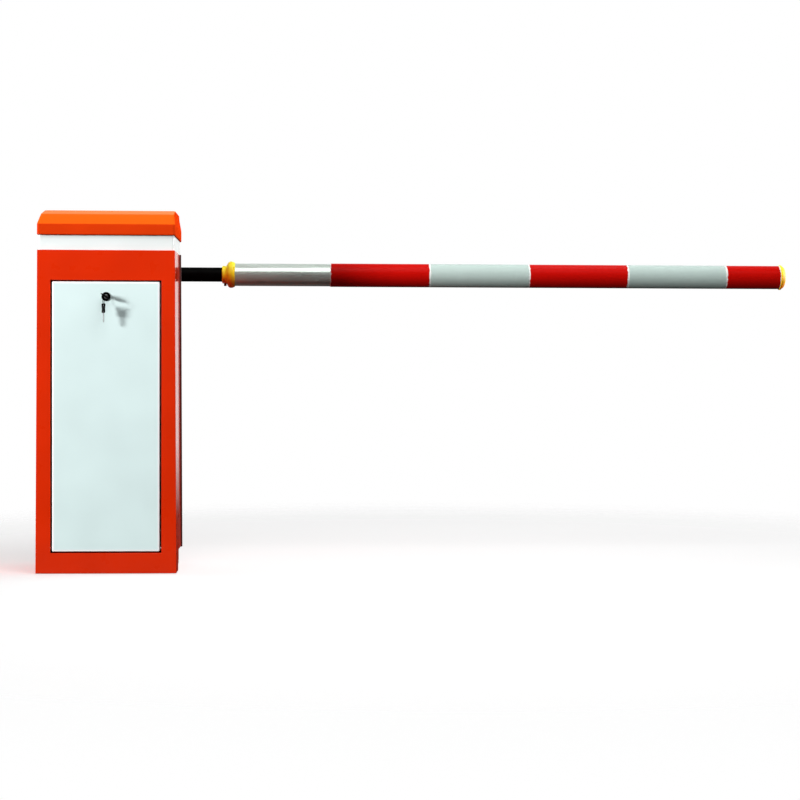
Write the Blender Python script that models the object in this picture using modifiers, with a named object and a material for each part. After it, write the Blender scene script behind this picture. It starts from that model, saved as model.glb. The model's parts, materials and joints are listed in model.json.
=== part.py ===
"""Parking barrier gate.

A sheet-metal cabinet stands on a base plate. Its front door tilts forward about a rod along its
bottom edge, and its hood lifts off a pale neck band. A boom on the end of a fore-and-aft shaft turns
behind the cabinet. The shaft is driven by a worm gearbox through a crank, a connecting rod and a
lever, and two springs balance the boom.

Units are metres. +X runs along the boom, the cabinet's front faces -Y, and +Z is up. The origin is
the middle of the base plate's underside.
"""

import math

import bmesh
import bpy
from mathutils import Matrix, Vector

# ---------------------------------------------------------------- driving dimensions

GAP = 0.0003                 # clearance between touching pieces
SHEET = 0.003                # cabinet sheet metal
WIDTH = 0.3774               # cabinet width at the top of the body
DEPTH = 0.300
HALF = WIDTH / 2
FLARE = 0.0273               # share by which the body widens for each metre down from its top
FRONT = -DEPTH / 2
REAR = DEPTH / 2
PLINTH_TOP = 0.057           # height of the plinth, and of the frame's bottom rail
BODY_TOP = 0.892
NECK_TOP = 0.934
HOOD_TOP = 1.010
BASE_THICK = 0.008
FOOT_HALF = 0.180            # base plate and plinth
FOOT_FRONT = -0.1467
FOOT_REAR = 0.140
ANCHOR_X = 0.140             # anchor bolt holes
ANCHOR_Y = 0.105
GLAND_X = -0.110
GLAND_Y = -0.060
STUD_X = 0.150               # studs that hold the hood
PLUG_Y = -0.110              # side plug, low on the left side
PLUG_Z = 0.250

SEAM_Y = 0.033               # where the front frame's side returns end
SEAM_WIDTH = 0.0063          # room for the side seals between frame and rear shell

OPENING_HALF = 0.152         # door opening in the front frame
OPENING_TOP = 0.809
DOOR_GAP = 0.0047
DOOR_LOW = 0.061
DOOR_HIGH = 0.805
DOOR_HALF = OPENING_HALF - DOOR_GAP
DOOR_SHEET = 0.002
DOOR_DEEP = 0.018
HINGE_Y = -0.143
HINGE_Z = 0.070
LOCK_Z = 0.764

BOOM_Z = 0.845               # height of the main shaft and of the boom
BOOM_Y = 0.200               # centre plane of the boom, behind the cabinet
SHAFT_R = 0.020
GEARBOX_Z = 0.545            # height of the gearbox output shaft
ARM = 0.070                  # lever and crank radius
PIN_OFFSET = ARM * math.sqrt(0.5)
LEVER_BACK = -0.002
LEVER_FRONT = -0.016
ROD_BACK = -0.018
ROD_FRONT = -0.032
PLATE_FRONT = 0.020          # machine plate
PLATE_BACK = 0.030
WORM_Y = 0.085               # plane of the worm wheel
WHEEL_R = 0.046
WORM_R = 0.010
WORM_X = WHEEL_R + WORM_R + 0.001

INNER_TUBE_R = 0.021
INNER_TUBE_LEFT = -0.100
INNER_TUBE_RIGHT = 0.720
COLLAR_LEFT = 0.303
CLAMP_X = 0.312              # screw that holds the collar on the inner tube
POLE_LEFT = 0.341
POLE_RIGHT = 1.965
POLE_R = 0.033
POLE_BORE_R = 0.030
SLEEVE_R = 0.0345
SLEEVE_LEFT = 0.621
SLEEVE_LENGTH = 0.295
END_CAP_R = 0.037

ROUND = 24                   # sides of a round piece
SMALL_ROUND = 16


# ---------------------------------------------------------------- scene and helpers

def clear_scene():
    for old in list(bpy.data.objects):
        bpy.data.objects.remove(old, do_unlink=True)


def new_collection(name):
    made = bpy.data.collections.new(name)
    bpy.context.scene.collection.children.link(made)
    return made


clear_scene()
PARTS = new_collection("parking_barrier_gate")
CUTTERS = new_collection("cutters")


def material(name, colour, roughness, metallic=0.0):
    made = bpy.data.materials.new(name)
    made.use_nodes = True
    shader = made.node_tree.nodes["Principled BSDF"]
    shader.inputs["Base Color"].default_value = (*colour, 1.0)
    shader.inputs["Roughness"].default_value = roughness
    shader.inputs["Metallic"].default_value = metallic
    return made


ORANGE = material("orange_paint", (0.76, 0.03, 0.003), 0.30)
HOOD_ORANGE = material("hood_paint", (0.90, 0.11, 0.010), 0.30)
WHITE = material("white_paint", (0.80, 0.88, 0.87), 0.35)
BLACK_PAINT = material("black_paint", (0.01, 0.01, 0.01), 0.35)
STEEL = material("plain_steel", (0.45, 0.45, 0.45), 0.35, 1.0)
ZINC = material("zinc_plate", (0.62, 0.60, 0.55), 0.40, 1.0)
ALUMINIUM = material("aluminium", (0.75, 0.76, 0.75), 0.25, 1.0)
CAST = material("cast_aluminium", (0.50, 0.51, 0.52), 0.55, 1.0)
BRONZE = material("bronze", (0.60, 0.38, 0.16), 0.40, 1.0)
RUBBER = material("rubber", (0.02, 0.02, 0.02), 0.80)
RED_FILM = material("red_film", (0.55, 0.005, 0.003), 0.45)
PALE_FILM = material("pale_film", (0.50, 0.60, 0.55), 0.45)
YELLOW = material("yellow_plastic", (0.90, 0.70, 0.05), 0.45)
BLACK_PLASTIC = material("black_plastic", (0.02, 0.02, 0.02), 0.50)
MOTOR_GREY = material("motor_grey", (0.20, 0.22, 0.24), 0.50)
BOARD_GREEN = material("board_green", (0.02, 0.20, 0.06), 0.45)


def add_object(name, mesh, mat, at=(0, 0, 0), turn=(0, 0, 0)):
    made = bpy.data.objects.new(name, mesh)
    made.location = at
    made.rotation_euler = turn
    if not made.data.materials:
        made.data.materials.append(mat)
    PARTS.objects.link(made)
    return made


def mesh_from(bm, name, smooth=False):
    mesh = bpy.data.meshes.new(name)
    bm.to_mesh(mesh)
    bm.free()
    if smooth:
        mesh.shade_smooth()
        mesh.set_sharp_from_angle(angle=math.radians(40))
    return mesh


def block(name, low, high, mat, bevel=0.0, segments=2):
    """A box between two opposite corners, with its edges rounded if bevel is given."""
    low, high = Vector(low), Vector(high)
    bm = bmesh.new()
    bmesh.ops.create_cube(bm, size=1.0, matrix=Matrix.Diagonal((*(high - low), 1.0)))
    made = add_object(name, mesh_from(bm, name), mat, (low + high) / 2)
    if bevel:
        rounding = made.modifiers.new("rounded edges", "BEVEL")
        rounding.width = bevel
        rounding.segments = segments
    return made


def rod(name, start, end, radius, mat, sides=ROUND):
    """A solid round bar between two points."""
    start, end = Vector(start), Vector(end)
    bm = bmesh.new()
    bmesh.ops.create_cone(bm, cap_ends=True, segments=sides, radius1=radius, radius2=radius,
                          depth=(end - start).length)
    made = add_object(name, mesh_from(bm, name, smooth=True), mat, (start + end) / 2)
    made.rotation_euler = (end - start).to_track_quat("Z", "Y").to_euler()
    return made


TURN_AXIS = {
    "X": (0.0, math.pi / 2, 0.0),
    "Y": (-math.pi / 2, 0.0, 0.0),
    "Z": (0.0, 0.0, 0.0),
}


def turned(name, outline, mat, at=(0, 0, 0), axis="Z", sides=ROUND):
    """A lathe-turned piece from (radius, height) points that run down its outer side.

    Points on the axis at both ends close a solid. Otherwise the outline is closed into a ring.
    """
    is_ring = outline[0][0] > 0
    bm = bmesh.new()
    points = [bm.verts.new((radius, 0, height)) for radius, height in outline]
    for one, other in zip(points, points[1:]):
        bm.edges.new((one, other))
    if is_ring:
        bm.edges.new((points[-1], points[0]))
    made = add_object(name, mesh_from(bm, name), mat, at, TURN_AXIS[axis])
    screw = made.modifiers.new("turned", "SCREW")
    screw.steps = sides
    screw.render_steps = sides
    screw.use_merge_vertices = True
    screw.merge_threshold = 0.00005
    screw.use_smooth_shade = True
    return made


def ring(name, outer, inner, low, high, mat, at=(0, 0, 0), axis="Z", sides=ROUND):
    outline = [(outer, high), (outer, low), (inner, low), (inner, high)]
    return turned(name, outline, mat, at, axis, sides)


def to_mesh_object(curve_object, merge=0.00001):
    """The curve object's evaluated shape as a mesh object, with its loose caps welded."""
    bpy.context.view_layer.update()
    graph = bpy.context.evaluated_depsgraph_get()
    mesh = bpy.data.meshes.new_from_object(curve_object.evaluated_get(graph))
    bm = bmesh.new()
    bm.from_mesh(mesh)
    bmesh.ops.remove_doubles(bm, verts=bm.verts, dist=merge)
    bm.to_mesh(mesh)
    bm.free()
    name = curve_object.name
    placed = curve_object.matrix_world.copy()
    mat = curve_object.data.materials[0]
    bpy.data.objects.remove(curve_object, do_unlink=True)
    made = add_object(name, mesh, mat)
    made.matrix_world = placed
    return made


def flat_plate(name, outline, thick, mat, at=(0, 0, 0), turn=(0, 0, 0)):
    """A plate with the given (x, y) outline, centred on its own thickness."""
    curve = bpy.data.curves.new(name, "CURVE")
    curve.dimensions = "2D"
    curve.fill_mode = "BOTH"
    curve.extrude = thick / 2
    spline = curve.splines.new("POLY")
    spline.points.add(len(outline) - 1)
    for point, (x, y) in zip(spline.points, outline):
        point.co = (x, y, 0, 1)
    spline.use_cyclic_u = True
    return to_mesh_object(add_object(name, curve, mat, at, turn))


def wire(name, points, radius, mat, resolution=2, cyclic=False):
    """A round wire or cable through the given points."""
    curve = bpy.data.curves.new(name, "CURVE")
    curve.dimensions = "3D"
    curve.bevel_depth = radius
    curve.bevel_resolution = resolution
    curve.use_fill_caps = not cyclic
    spline = curve.splines.new("POLY")
    spline.points.add(len(points) - 1)
    for point, place in zip(spline.points, points):
        point.co = (*place, 1)
    spline.use_cyclic_u = cyclic
    return to_mesh_object(add_object(name, curve, mat))


def as_helper(piece):
    """Takes a piece out of the model: it only cuts or joins another."""
    PARTS.objects.unlink(piece)
    CUTTERS.objects.link(piece)
    piece.hide_render = True
    piece.display_type = "WIRE"


def boolean(target, other, operation):
    as_helper(other)
    change = target.modifiers.new(operation.lower(), "BOOLEAN")
    change.operation = operation
    change.solver = "EXACT"
    change.object = other


def cut(target, *cutters):
    for cutter in cutters:
        boolean(target, cutter, "DIFFERENCE")


def join(target, *pieces):
    for piece in pieces:
        boolean(target, piece, "UNION")


def arc(centre, radius, start_deg, end_deg, steps):
    """Points along an arc, both ends included."""
    span = math.radians(end_deg - start_deg)
    first = math.radians(start_deg)
    angles = [first + span * i / steps for i in range(steps + 1)]
    return [(centre[0] + radius * math.cos(a), centre[1] + radius * math.sin(a)) for a in angles]


def rounded_rectangle(half_x, low_y, high_y, front_radius, rear_radius, steps=4):
    """Outline seen from above, anticlockwise from the front left corner."""
    corners = [
        (-half_x + front_radius, low_y + front_radius, front_radius, 180),
        (half_x - front_radius, low_y + front_radius, front_radius, 270),
        (half_x - rear_radius, high_y - rear_radius, rear_radius, 0),
        (-half_x + rear_radius, high_y - rear_radius, rear_radius, 90),
    ]
    outline = []
    for x, y, radius, start in corners:
        outline += arc((x, y), radius, start, start + 90, steps)
    return outline


def skin(name, rows, mat, closed=True, capped=False, smooth=False):
    """Faces between rows of equal point counts. Anticlockwise rows, lowest first, face outwards."""
    bm = bmesh.new()
    made = [[bm.verts.new(point) for point in row] for row in rows]
    spans = len(rows[0]) if closed else len(rows[0]) - 1
    for lower, upper in zip(made, made[1:]):
        for i in range(spans):
            after = (i + 1) % len(lower)
            bm.faces.new((lower[i], lower[after], upper[after], upper[i]))
    if capped:
        bm.faces.new(made[-1])
    return add_object(name, mesh_from(bm, name, smooth), mat)


def wall(name, outline, low, high, thick, mat, closed=True):
    """Upright sheet along an outline. Its thickness goes to the left of the outline's direction."""
    rows = [[(x, y, height) for x, y in outline] for height in (low, high)]
    made = skin(name, rows, mat, closed)
    add_thickness(made, thick)
    return made


def add_thickness(piece, thick):
    """Grows a sheet inwards from its outer face."""
    solid = piece.modifiers.new("thickness", "SOLIDIFY")
    solid.thickness = thick
    solid.offset = -1.0
    solid.use_even_offset = True


# ---------------------------------------------------------------- joints

PIVOT_PLACES = {}


def pivot(name, at, carried_by=None):
    """An empty on a joint's axis. Pieces and other pivots ride on it."""
    made = bpy.data.objects.new(name, None)
    made.empty_display_size = 0.05
    made.location = at
    PARTS.objects.link(made)
    PIVOT_PLACES[name] = Vector(at)
    if carried_by:
        ride(carried_by, made)
    return made


def ride(carrier, *pieces):
    """Parents pieces to a pivot and keeps them where they are."""
    for piece in pieces:
        piece.parent = carrier
        piece.matrix_parent_inverse = Matrix.Translation(-PIVOT_PLACES[carrier.name])


# ---------------------------------------------------------------- cabinet

def flared(x, z):
    return x * (1 + FLARE * (BODY_TOP - z))


def flare(*pieces):
    """Widens pieces towards the floor, as the body's sides lean out. The pieces aren't turned."""
    for piece in pieces:
        at = piece.location
        for vertex in piece.data.vertices:
            x, z = vertex.co.x + at.x, vertex.co.z + at.z
            vertex.co.x = flared(x, z) - at.x


def base_plate():
    plate = block("base_plate", (-FOOT_HALF, FOOT_FRONT, 0), (FOOT_HALF, FOOT_REAR, BASE_THICK), ZINC)
    for x in (-ANCHOR_X, ANCHOR_X):
        for y in (-ANCHOR_Y, ANCHOR_Y):
            cut(plate, rod("anchor_hole", (x, y, -0.01), (x, y, 0.02), 0.007, STEEL, SMALL_ROUND))
    cut(plate, rod("cable_hole", (GLAND_X, GLAND_Y, -0.01), (GLAND_X, GLAND_Y, 0.02), 0.0165, STEEL))
    return plate


def cable_gland():
    """A gland in the base plate where the site's cable would come up."""
    outline = [
        (0.0095, 0.040), (0.0165, 0.040), (0.0165, 0.024), (0.021, 0.022), (0.021, 0.0083),
        (0.016, 0.0083), (0.016, 0.0015), (0.0095, 0.0015),
    ]
    return turned("cable_gland", outline, BLACK_PLASTIC, (GLAND_X, GLAND_Y, 0))


def plinth():
    low, ledge = BASE_THICK + GAP, PLINTH_TOP - SHEET
    path = [(-FOOT_HALF, FOOT_FRONT), (FOOT_HALF, FOOT_FRONT), (FOOT_HALF, FOOT_REAR),
            (-FOOT_HALF, FOOT_REAR)]
    skirt = wall("plinth", path[1:] + path[:1], low, ledge, 0.004, ORANGE, closed=False)
    rim = block("plinth_rim", (-0.1865, -0.070, ledge - 0.001), (0.1865, 0.147, PLINTH_TOP), ORANGE)
    cut(rim, block("rim_hole", (-0.165, -0.08, 0.04), (0.165, 0.125, 0.07), ORANGE))
    join(skirt, rim)
    return skirt


def door_surround():
    """The return flange around the door opening."""
    return block("door_surround", (-OPENING_HALF - SHEET, FRONT + 0.001, PLINTH_TOP - SHEET),
                 (OPENING_HALF + SHEET, -0.128, OPENING_TOP + SHEET), ORANGE)


def front_frame():
    """Front face with the door opening, and the side returns. The returns are short at the foot."""
    frame = block("front_frame", (-HALF, FRONT, 0.0005), (HALF, SEAM_Y, BODY_TOP), ORANGE)
    inner = HALF - SHEET
    hollow = block("frame_hollow", (-inner, FRONT + SHEET, -0.01), (inner, 0.1, 0.95), ORANGE)
    flare(frame, hollow)
    cut(frame, hollow)
    join(frame, door_surround())
    opening = block("door_opening", (-OPENING_HALF, -0.2, PLINTH_TOP),
                    (OPENING_HALF, -0.1, OPENING_TOP), ORANGE)
    top_rim = block("top_rim", (-inner - 0.001, FRONT + 0.001, BODY_TOP - SHEET),
                    (inner + 0.001, SEAM_Y, BODY_TOP), ORANGE)
    cut(top_rim, block("top_rim_hole", (-0.165, -0.125, 0.85), (0.165, 0.1, 0.95), ORANGE))
    foot = block("foot_rim", (-0.1755, FRONT + 0.001, 0.012), (0.1755, -0.125, 0.015), ORANGE)
    join(frame, top_rim, foot)
    cut(frame, opening)
    cut(frame, block("foot_notch", (-0.2, -0.071, -0.01), (0.2, 0.1, PLINTH_TOP), ORANGE))
    cut(frame, rod("hinge_holes", (-0.17, HINGE_Y, HINGE_Z), (0.17, HINGE_Y, HINGE_Z), 0.0036,
                   STEEL, SMALL_ROUND))
    cut(frame, rod("side_hole", (-0.21, PLUG_Y, PLUG_Z), (-0.17, PLUG_Y, PLUG_Z), 0.0105, STEEL))
    return frame


def side_plug():
    """Rubber plug in the knock-out hole low on the left side."""
    outline = [
        (0, 0.0025), (0.008, 0.0025), (0.0125, GAP), (0.010, GAP), (0.010, -0.006), (0, -0.006),
    ]
    side = -flared(HALF, PLUG_Z - 0.0125) - GAP
    plug = turned("side_plug", outline, RUBBER, (side, PLUG_Y, PLUG_Z), "X", SMALL_ROUND)
    plug.rotation_euler = (0, -math.pi / 2, 0)
    return plug


def rear_outline(inset):
    """Open outline of the rear shell, from the right side round the back to the left side."""
    half, rear, radius = HALF - inset, REAR - inset, 0.045 - inset
    start = SEAM_Y + SEAM_WIDTH
    outline = [(half, start)]
    outline += arc((half - radius, rear - radius), radius, 0, 90, 6)
    outline += arc((-half + radius, rear - radius), radius, 90, 180, 6)
    outline.append((-half, start))
    return outline


def rear_shell():
    low = PLINTH_TOP + GAP
    shell = wall("rear_shell", rear_outline(0), low, BODY_TOP, SHEET, ORANGE, closed=False)
    flare(shell)
    rim = flat_plate("rear_rim", rear_outline(0.0015), SHEET, ORANGE, (0, 0, BODY_TOP - SHEET / 2))
    cut(rim, block("rear_rim_hole", (-0.165, SEAM_Y - 0.01, 0.85), (0.165, 0.125, 0.95), ORANGE))
    join(shell, rim)
    cut(shell, rod("shaft_hole", (0, 0.12, BOOM_Z), (0, 0.2, BOOM_Z), 0.032, STEEL))
    for i in range(5):
        z = 0.180 + 0.022 * i
        cut(shell, block("vent_slot", (-0.060, 0.13, z), (0.060, 0.17, z + 0.008), ORANGE))
    return shell


def side_seal(name, side):
    """Rubber strip that closes the seam between frame and rear shell, proud of both."""
    inner, outer = side * (HALF - 0.004), side * (HALF + 0.0045)
    low = (min(inner, outer), SEAM_Y + GAP, PLINTH_TOP + GAP)
    high = (max(inner, outer), SEAM_Y + SEAM_WIDTH - GAP, BODY_TOP)
    seal = block(name, low, high, RUBBER)
    flare(seal)
    return seal


def neck_band():
    half, front, rear = HALF - 0.003, -0.144, 0.144
    outline = rounded_rectangle(half, front, rear, 0.004, 0.042)
    band = wall("neck_band", outline, BODY_TOP + GAP, NECK_TOP - GAP, SHEET, WHITE)
    for side in (-1, 1):
        inner, outer = sorted((side * 0.130, side * (half - 0.002)))
        tab = block("hood_tab", (inner, -0.015, 0.925), (outer, 0.015, 0.928), WHITE)
        join(band, tab)
        cut(band, rod("stud_hole", (side * STUD_X, 0, 0.90), (side * STUD_X, 0, 0.95), 0.0046,
                      STEEL, SMALL_ROUND))
    return band


HOOD_PROFILE = (  # (side inset, front inset, rear inset, height), from the lid's lower edge up
    (0.0000, 0.0000, 0.0000, NECK_TOP), (0.0000, 0.0000, 0.0000, 0.963),
    (0.0005, 0.0025, 0.0000, 0.966), (0.0050, 0.0360, 0.0010, 0.991),
    (0.0055, 0.0450, 0.0015, 0.9955), (0.0065, 0.1000, 0.0035, 1.0075),
    (0.0095, 0.1120, 0.0065, HOOD_TOP),
)


def hood():
    """Lid that slopes up from the front to a crown, with the two studs that its knobs screw on to."""
    half, front, rear = HALF + 0.0005, FRONT - 0.002, REAR + 0.002
    rings = []
    for side_inset, front_inset, rear_inset, height in HOOD_PROFILE:
        outline = rounded_rectangle(half - side_inset, front + front_inset, rear - rear_inset,
                                    0.006, 0.045 - rear_inset, 3)
        rings.append([(x, y, height) for x, y in outline])
    lid = skin("hood", rings, HOOD_ORANGE, capped=True, smooth=True)
    add_thickness(lid, 0.0025)
    for side in (-1, 1):
        x = side * STUD_X
        join(lid, rod("hood_stud", (x, 0, 0.902), (x, 0, HOOD_TOP - 0.0012), 0.004, STEEL, SMALL_ROUND))
    return lid


def hood_knob(name, side):
    outline = [
        (0.0085, 0.9245), (0.0085, 0.919), (0.014, 0.917), (0.014, 0.907), (0.0044, 0.907),
        (0.0044, 0.9245),
    ]
    return turned(name, outline, BLACK_PLASTIC, (side * STUD_X, 0, 0), sides=SMALL_ROUND)


def door_seal():
    """Rubber frame behind the opening's flange, which the door closes on."""
    seal = block("door_seal", (-0.156, -0.1277, 0.053), (0.156, -0.1220, 0.813), RUBBER)
    cut(seal, block("seal_hole", (-0.148, -0.14, 0.061), (0.148, -0.11, 0.805), RUBBER))
    return seal


def build_cabinet():
    base_plate()
    cable_gland()
    plinth()
    front_frame()
    side_plug()
    rear_shell()
    side_seal("side_seal_left", -1)
    side_seal("side_seal_right", 1)
    neck_band()
    hood()
    hood_knob("hood_knob_left", -1)
    hood_knob("hood_knob_right", 1)
    door_seal()


# ---------------------------------------------------------------- door, lock and keys

KEY_TILT = math.radians(-33)                 # the key's bow as it stands in the lock
KEY_Y = -0.1705                              # middle of the bow, fore and aft
BOW_EDGE = KEY_Y - 0.010
WEB_Y = BOW_EDGE + 0.001                     # middle of the web between the bow's hole and its edge
RING_X = -0.004                              # the key ring hangs in this fore-and-aft plane
WEB_Z = LOCK_Z + RING_X * math.tan(KEY_TILT)
KEY_RING_R = 0.0162
RING_WIRE_R = 0.0007
RING_Z = WEB_Z - 0.0110
SPARE_TURN = math.radians(-66)                # the spare key's head, nearly edge-on to the front
SPARE_HOLE_HALF = 0.0052                      # its hole is a slot, so that the ring can cross it aslant
SPARE_HOLE_R = 0.0022
SPARE_HOLE_Z = RING_Z - KEY_RING_R


def door_panel():
    """Shallow pan with flanges, pierced for the lock and the hinge rod."""
    front = FRONT - 0.001
    back = front + DOOR_DEEP
    pan = block("door_panel", (-DOOR_HALF, front, DOOR_LOW), (DOOR_HALF, back, DOOR_HIGH), WHITE,
                bevel=0.0015)
    inner = DOOR_HALF - DOOR_SHEET
    hollow = block("door_hollow", (-inner, front + DOOR_SHEET, DOOR_LOW + DOOR_SHEET),
                   (inner, back + 0.01, DOOR_HIGH - DOOR_SHEET), WHITE)
    lock_hole = rod("lock_hole", (0, -0.17, LOCK_Z), (0, -0.14, LOCK_Z), 0.0103, STEEL)
    rod_hole = rod("rod_hole", (-0.17, HINGE_Y, HINGE_Z), (0.17, HINGE_Y, HINGE_Z), 0.0033,
                   STEEL, SMALL_ROUND)
    cut(pan, hollow, lock_hole, rod_hole)
    return pan


def hinge_rod():
    end = OPENING_HALF + 0.008
    return rod("hinge_rod", (-end, HINGE_Y, HINGE_Z), (end, HINGE_Y, HINGE_Z), 0.003, STEEL,
               SMALL_ROUND)


def lock_body():
    outline = [
        (0.0063, 0.029), (0.010, 0.029), (0.010, 0.0025), (0.0125, 0.0025), (0.0115, 0),
        (0.0063, 0),
    ]
    return turned("lock_body", outline, STEEL, (0, -0.1538, LOCK_Z), "Y")


def lock_key():
    """The lock's turning plug with the key in it."""
    plug = rod("lock_key", (0, -0.1535, LOCK_Z), (0, -0.1202, LOCK_Z), 0.006, STEEL, SMALL_ROUND)
    neck = rod("key_neck", (0, -0.1615, LOCK_Z), (0, -0.153, LOCK_Z), 0.003, STEEL, SMALL_ROUND)
    bow = block("key_bow", (-0.014, -0.010, -0.0015), (0.014, 0.010, 0.0015), BLACK_PLASTIC)
    bow.location = (0, KEY_Y, LOCK_Z)
    bow.rotation_euler = (0, -KEY_TILT, 0)
    slot = block("bow_slot", (-0.006, BOW_EDGE + 0.002, -0.01), (0.006, BOW_EDGE + 0.0165, 0.01),
                 BLACK_PLASTIC)
    slot.location = (RING_X, slot.location.y, WEB_Z)
    slot.rotation_euler = (0, -KEY_TILT, 0)
    join(plug, neck, bow)
    cut(plug, slot)
    return plug


def lock_cam():
    """The latch arm behind the door. It lies sideways when the lock is open."""
    outline = arc((0, 0), 0.010, 90, 270, 6) + [(0.050, -0.010), (0.050, 0.010)]
    return flat_plate("lock_cam", outline, 0.003, ZINC, (0, -0.1184, LOCK_Z), (math.pi / 2, 0, 0))


def key_ring():
    circle = arc((WEB_Y, RING_Z), KEY_RING_R, 0, 345, 23)
    return wire("key_ring", [(RING_X, y, z) for y, z in circle], RING_WIRE_R, STEEL, 1, cyclic=True)


def spare_key():
    """A second key that hangs from the ring, turned nearly edge-on to the front."""
    bow = block("spare_key", (-0.009, -0.00110, -0.0214), (0.009, 0.00110, 0.0046), BLACK_PLASTIC)
    blade = block("spare_blade", (-0.0035, -0.0009, -0.0470), (0.0035, 0.0009, -0.0205), STEEL)
    hole = block("spare_hole", (-SPARE_HOLE_HALF, -0.01, -SPARE_HOLE_R),
                 (SPARE_HOLE_HALF, 0.01, SPARE_HOLE_R), STEEL)
    place = Matrix.Translation((RING_X, WEB_Y, SPARE_HOLE_Z))
    turn = place @ Matrix.Rotation(SPARE_TURN, 4, "Z")
    for piece in (bow, blade, hole):
        bpy.context.view_layer.update()
        piece.matrix_world = turn @ piece.matrix_world
    join(bow, blade)
    cut(bow, hole)
    return bow


def build_door():
    door = pivot("door_pivot", (0, HINGE_Y, HINGE_Z))
    key = pivot("key_pivot", (0, KEY_Y, LOCK_Z), door)
    spare = pivot("spare_key_pivot", (RING_X, WEB_Y, WEB_Z), key)
    ride(door, door_panel(), hinge_rod(), lock_body())
    ride(key, lock_key(), lock_cam())
    ride(spare, key_ring(), spare_key())


# ---------------------------------------------------------------- fixed machinery

def machine_plate():
    """Upright plate that carries the shaft, the gearbox and the controller."""
    low = BASE_THICK + GAP
    plate = block("machine_plate", (-0.110, PLATE_FRONT, low), (0.110, PLATE_BACK, 0.914), ZINC)
    foot = block("plate_foot", (-0.110, -0.030, low), (0.110, 0.025, low + 0.008), ZINC)
    join(plate, foot)
    cut(plate, rod("shaft_bore", (0, 0, BOOM_Z), (0, 0.05, BOOM_Z), 0.022, STEEL))
    cut(plate, rod("output_bore", (0, 0, GEARBOX_Z), (0, 0.05, GEARBOX_Z), 0.017, STEEL))
    return plate


def bearing_housing():
    """Tube that holds the shaft between the machine plate and the rear wall."""
    return ring("bearing_housing", 0.042, 0.034, PLATE_BACK + GAP, REAR - SHEET - GAP, CAST,
                (0, 0, BOOM_Z), "Y")


def flange_bearing():
    outline = [
        (0.030, PLATE_FRONT - GAP), (0.045, PLATE_FRONT - GAP), (0.045, 0.010), (0.032, 0.008),
        (0.032, GAP), (SHAFT_R + GAP, GAP), (SHAFT_R + GAP, PLATE_FRONT - GAP),
    ]
    return turned("front_bearing", outline, CAST, (0, 0, BOOM_Z), "Y")


def rear_bearing():
    return ring("rear_bearing", 0.0337, SHAFT_R + GAP, 0.118, 0.140, STEEL, (0, 0, BOOM_Z), "Y")


def shaft_seal():
    return ring("shaft_seal", 0.041, SHAFT_R + GAP, REAR + GAP, REAR + 0.006, RUBBER,
                (0, 0, BOOM_Z), "Y")


def gear_case():
    """Worm gearbox: hollow for the wheel and the worm, open where the two shafts enter."""
    case = block("gear_case", (-0.062, PLATE_BACK + GAP, 0.482), (0.082, 0.122, 0.608), CAST, 0.004)
    wheel_room = rod("wheel_room", (0, WORM_Y - 0.013, GEARBOX_Z), (0, WORM_Y + 0.013, GEARBOX_Z),
                     WHEEL_R + 0.002, STEEL)
    worm_room = rod("worm_room", (WORM_X, WORM_Y, 0.47), (WORM_X, WORM_Y, 0.595), 0.0125, STEEL,
                    SMALL_ROUND)
    output = rod("output_room", (0, 0.02, GEARBOX_Z), (0, 0.110, GEARBOX_Z), 0.0153, STEEL)
    cut(case, wheel_room, worm_room, output)
    return case


def motor():
    """Motor below the gearbox, with its terminal box on the side."""
    top = 0.482 - GAP
    outline = [
        (0.012, top), (0.050, top), (0.050, top - 0.012), (0.044, top - 0.016),
        (0.044, 0.300), (0.012, 0.300),
    ]
    body = turned("motor", outline, MOTOR_GREY, (WORM_X, WORM_Y, 0))
    terminals = block("terminal_box", (WORM_X + 0.040, WORM_Y - 0.030, 0.370),
                      (WORM_X + 0.068, WORM_Y + 0.030, 0.440), MOTOR_GREY)
    cut(terminals, rod("clear_bore", (WORM_X, WORM_Y, 0.35), (WORM_X, WORM_Y, 0.46), 0.042, STEEL))
    join(body, terminals)
    return body


def fan_cover():
    low, high = 0.246, 0.300 - GAP
    outline = [
        (0.046, high), (0.046, low + 0.006), (0.040, low), (0.008, low), (0.008, low + 0.002),
        (0.038, low + 0.002), (0.044, low + 0.008), (0.044, high),
    ]
    return turned("fan_cover", outline, BLACK_PLASTIC, (WORM_X, WORM_Y, 0))


def controller_tray():
    low, high = (-0.095, -0.040, 0.130), (0.095, PLATE_FRONT - GAP, 0.340)
    tray = block("controller_tray", low, high, MOTOR_GREY)
    cut(tray, block("tray_hollow", (-0.092, -0.05, 0.133), (0.092, 0.0167, 0.337), MOTOR_GREY))
    cut(tray, rod("tray_outlet", (0.08, -0.015, 0.200), (0.11, -0.015, 0.200), 0.005, STEEL, 12))
    return tray


def circuit_board():
    """Board with its terminal strip, relays and transformer."""
    board = block("circuit_board", (-0.085, 0.008, 0.140), (0.085, 0.010, 0.330), BOARD_GREEN)
    join(board, block("terminal_strip", (-0.075, -0.006, 0.145), (0.075, 0.009, 0.162), BOARD_GREEN))
    join(board, block("transformer", (-0.070, -0.030, 0.255), (-0.020, 0.009, 0.315), BLACK_PLASTIC))
    for i in range(3):
        x = 0.000 + 0.026 * i
        join(board, block("relay", (x, -0.008, 0.270), (x + 0.018, 0.009, 0.300), BLACK_PLASTIC))
    return board


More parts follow.
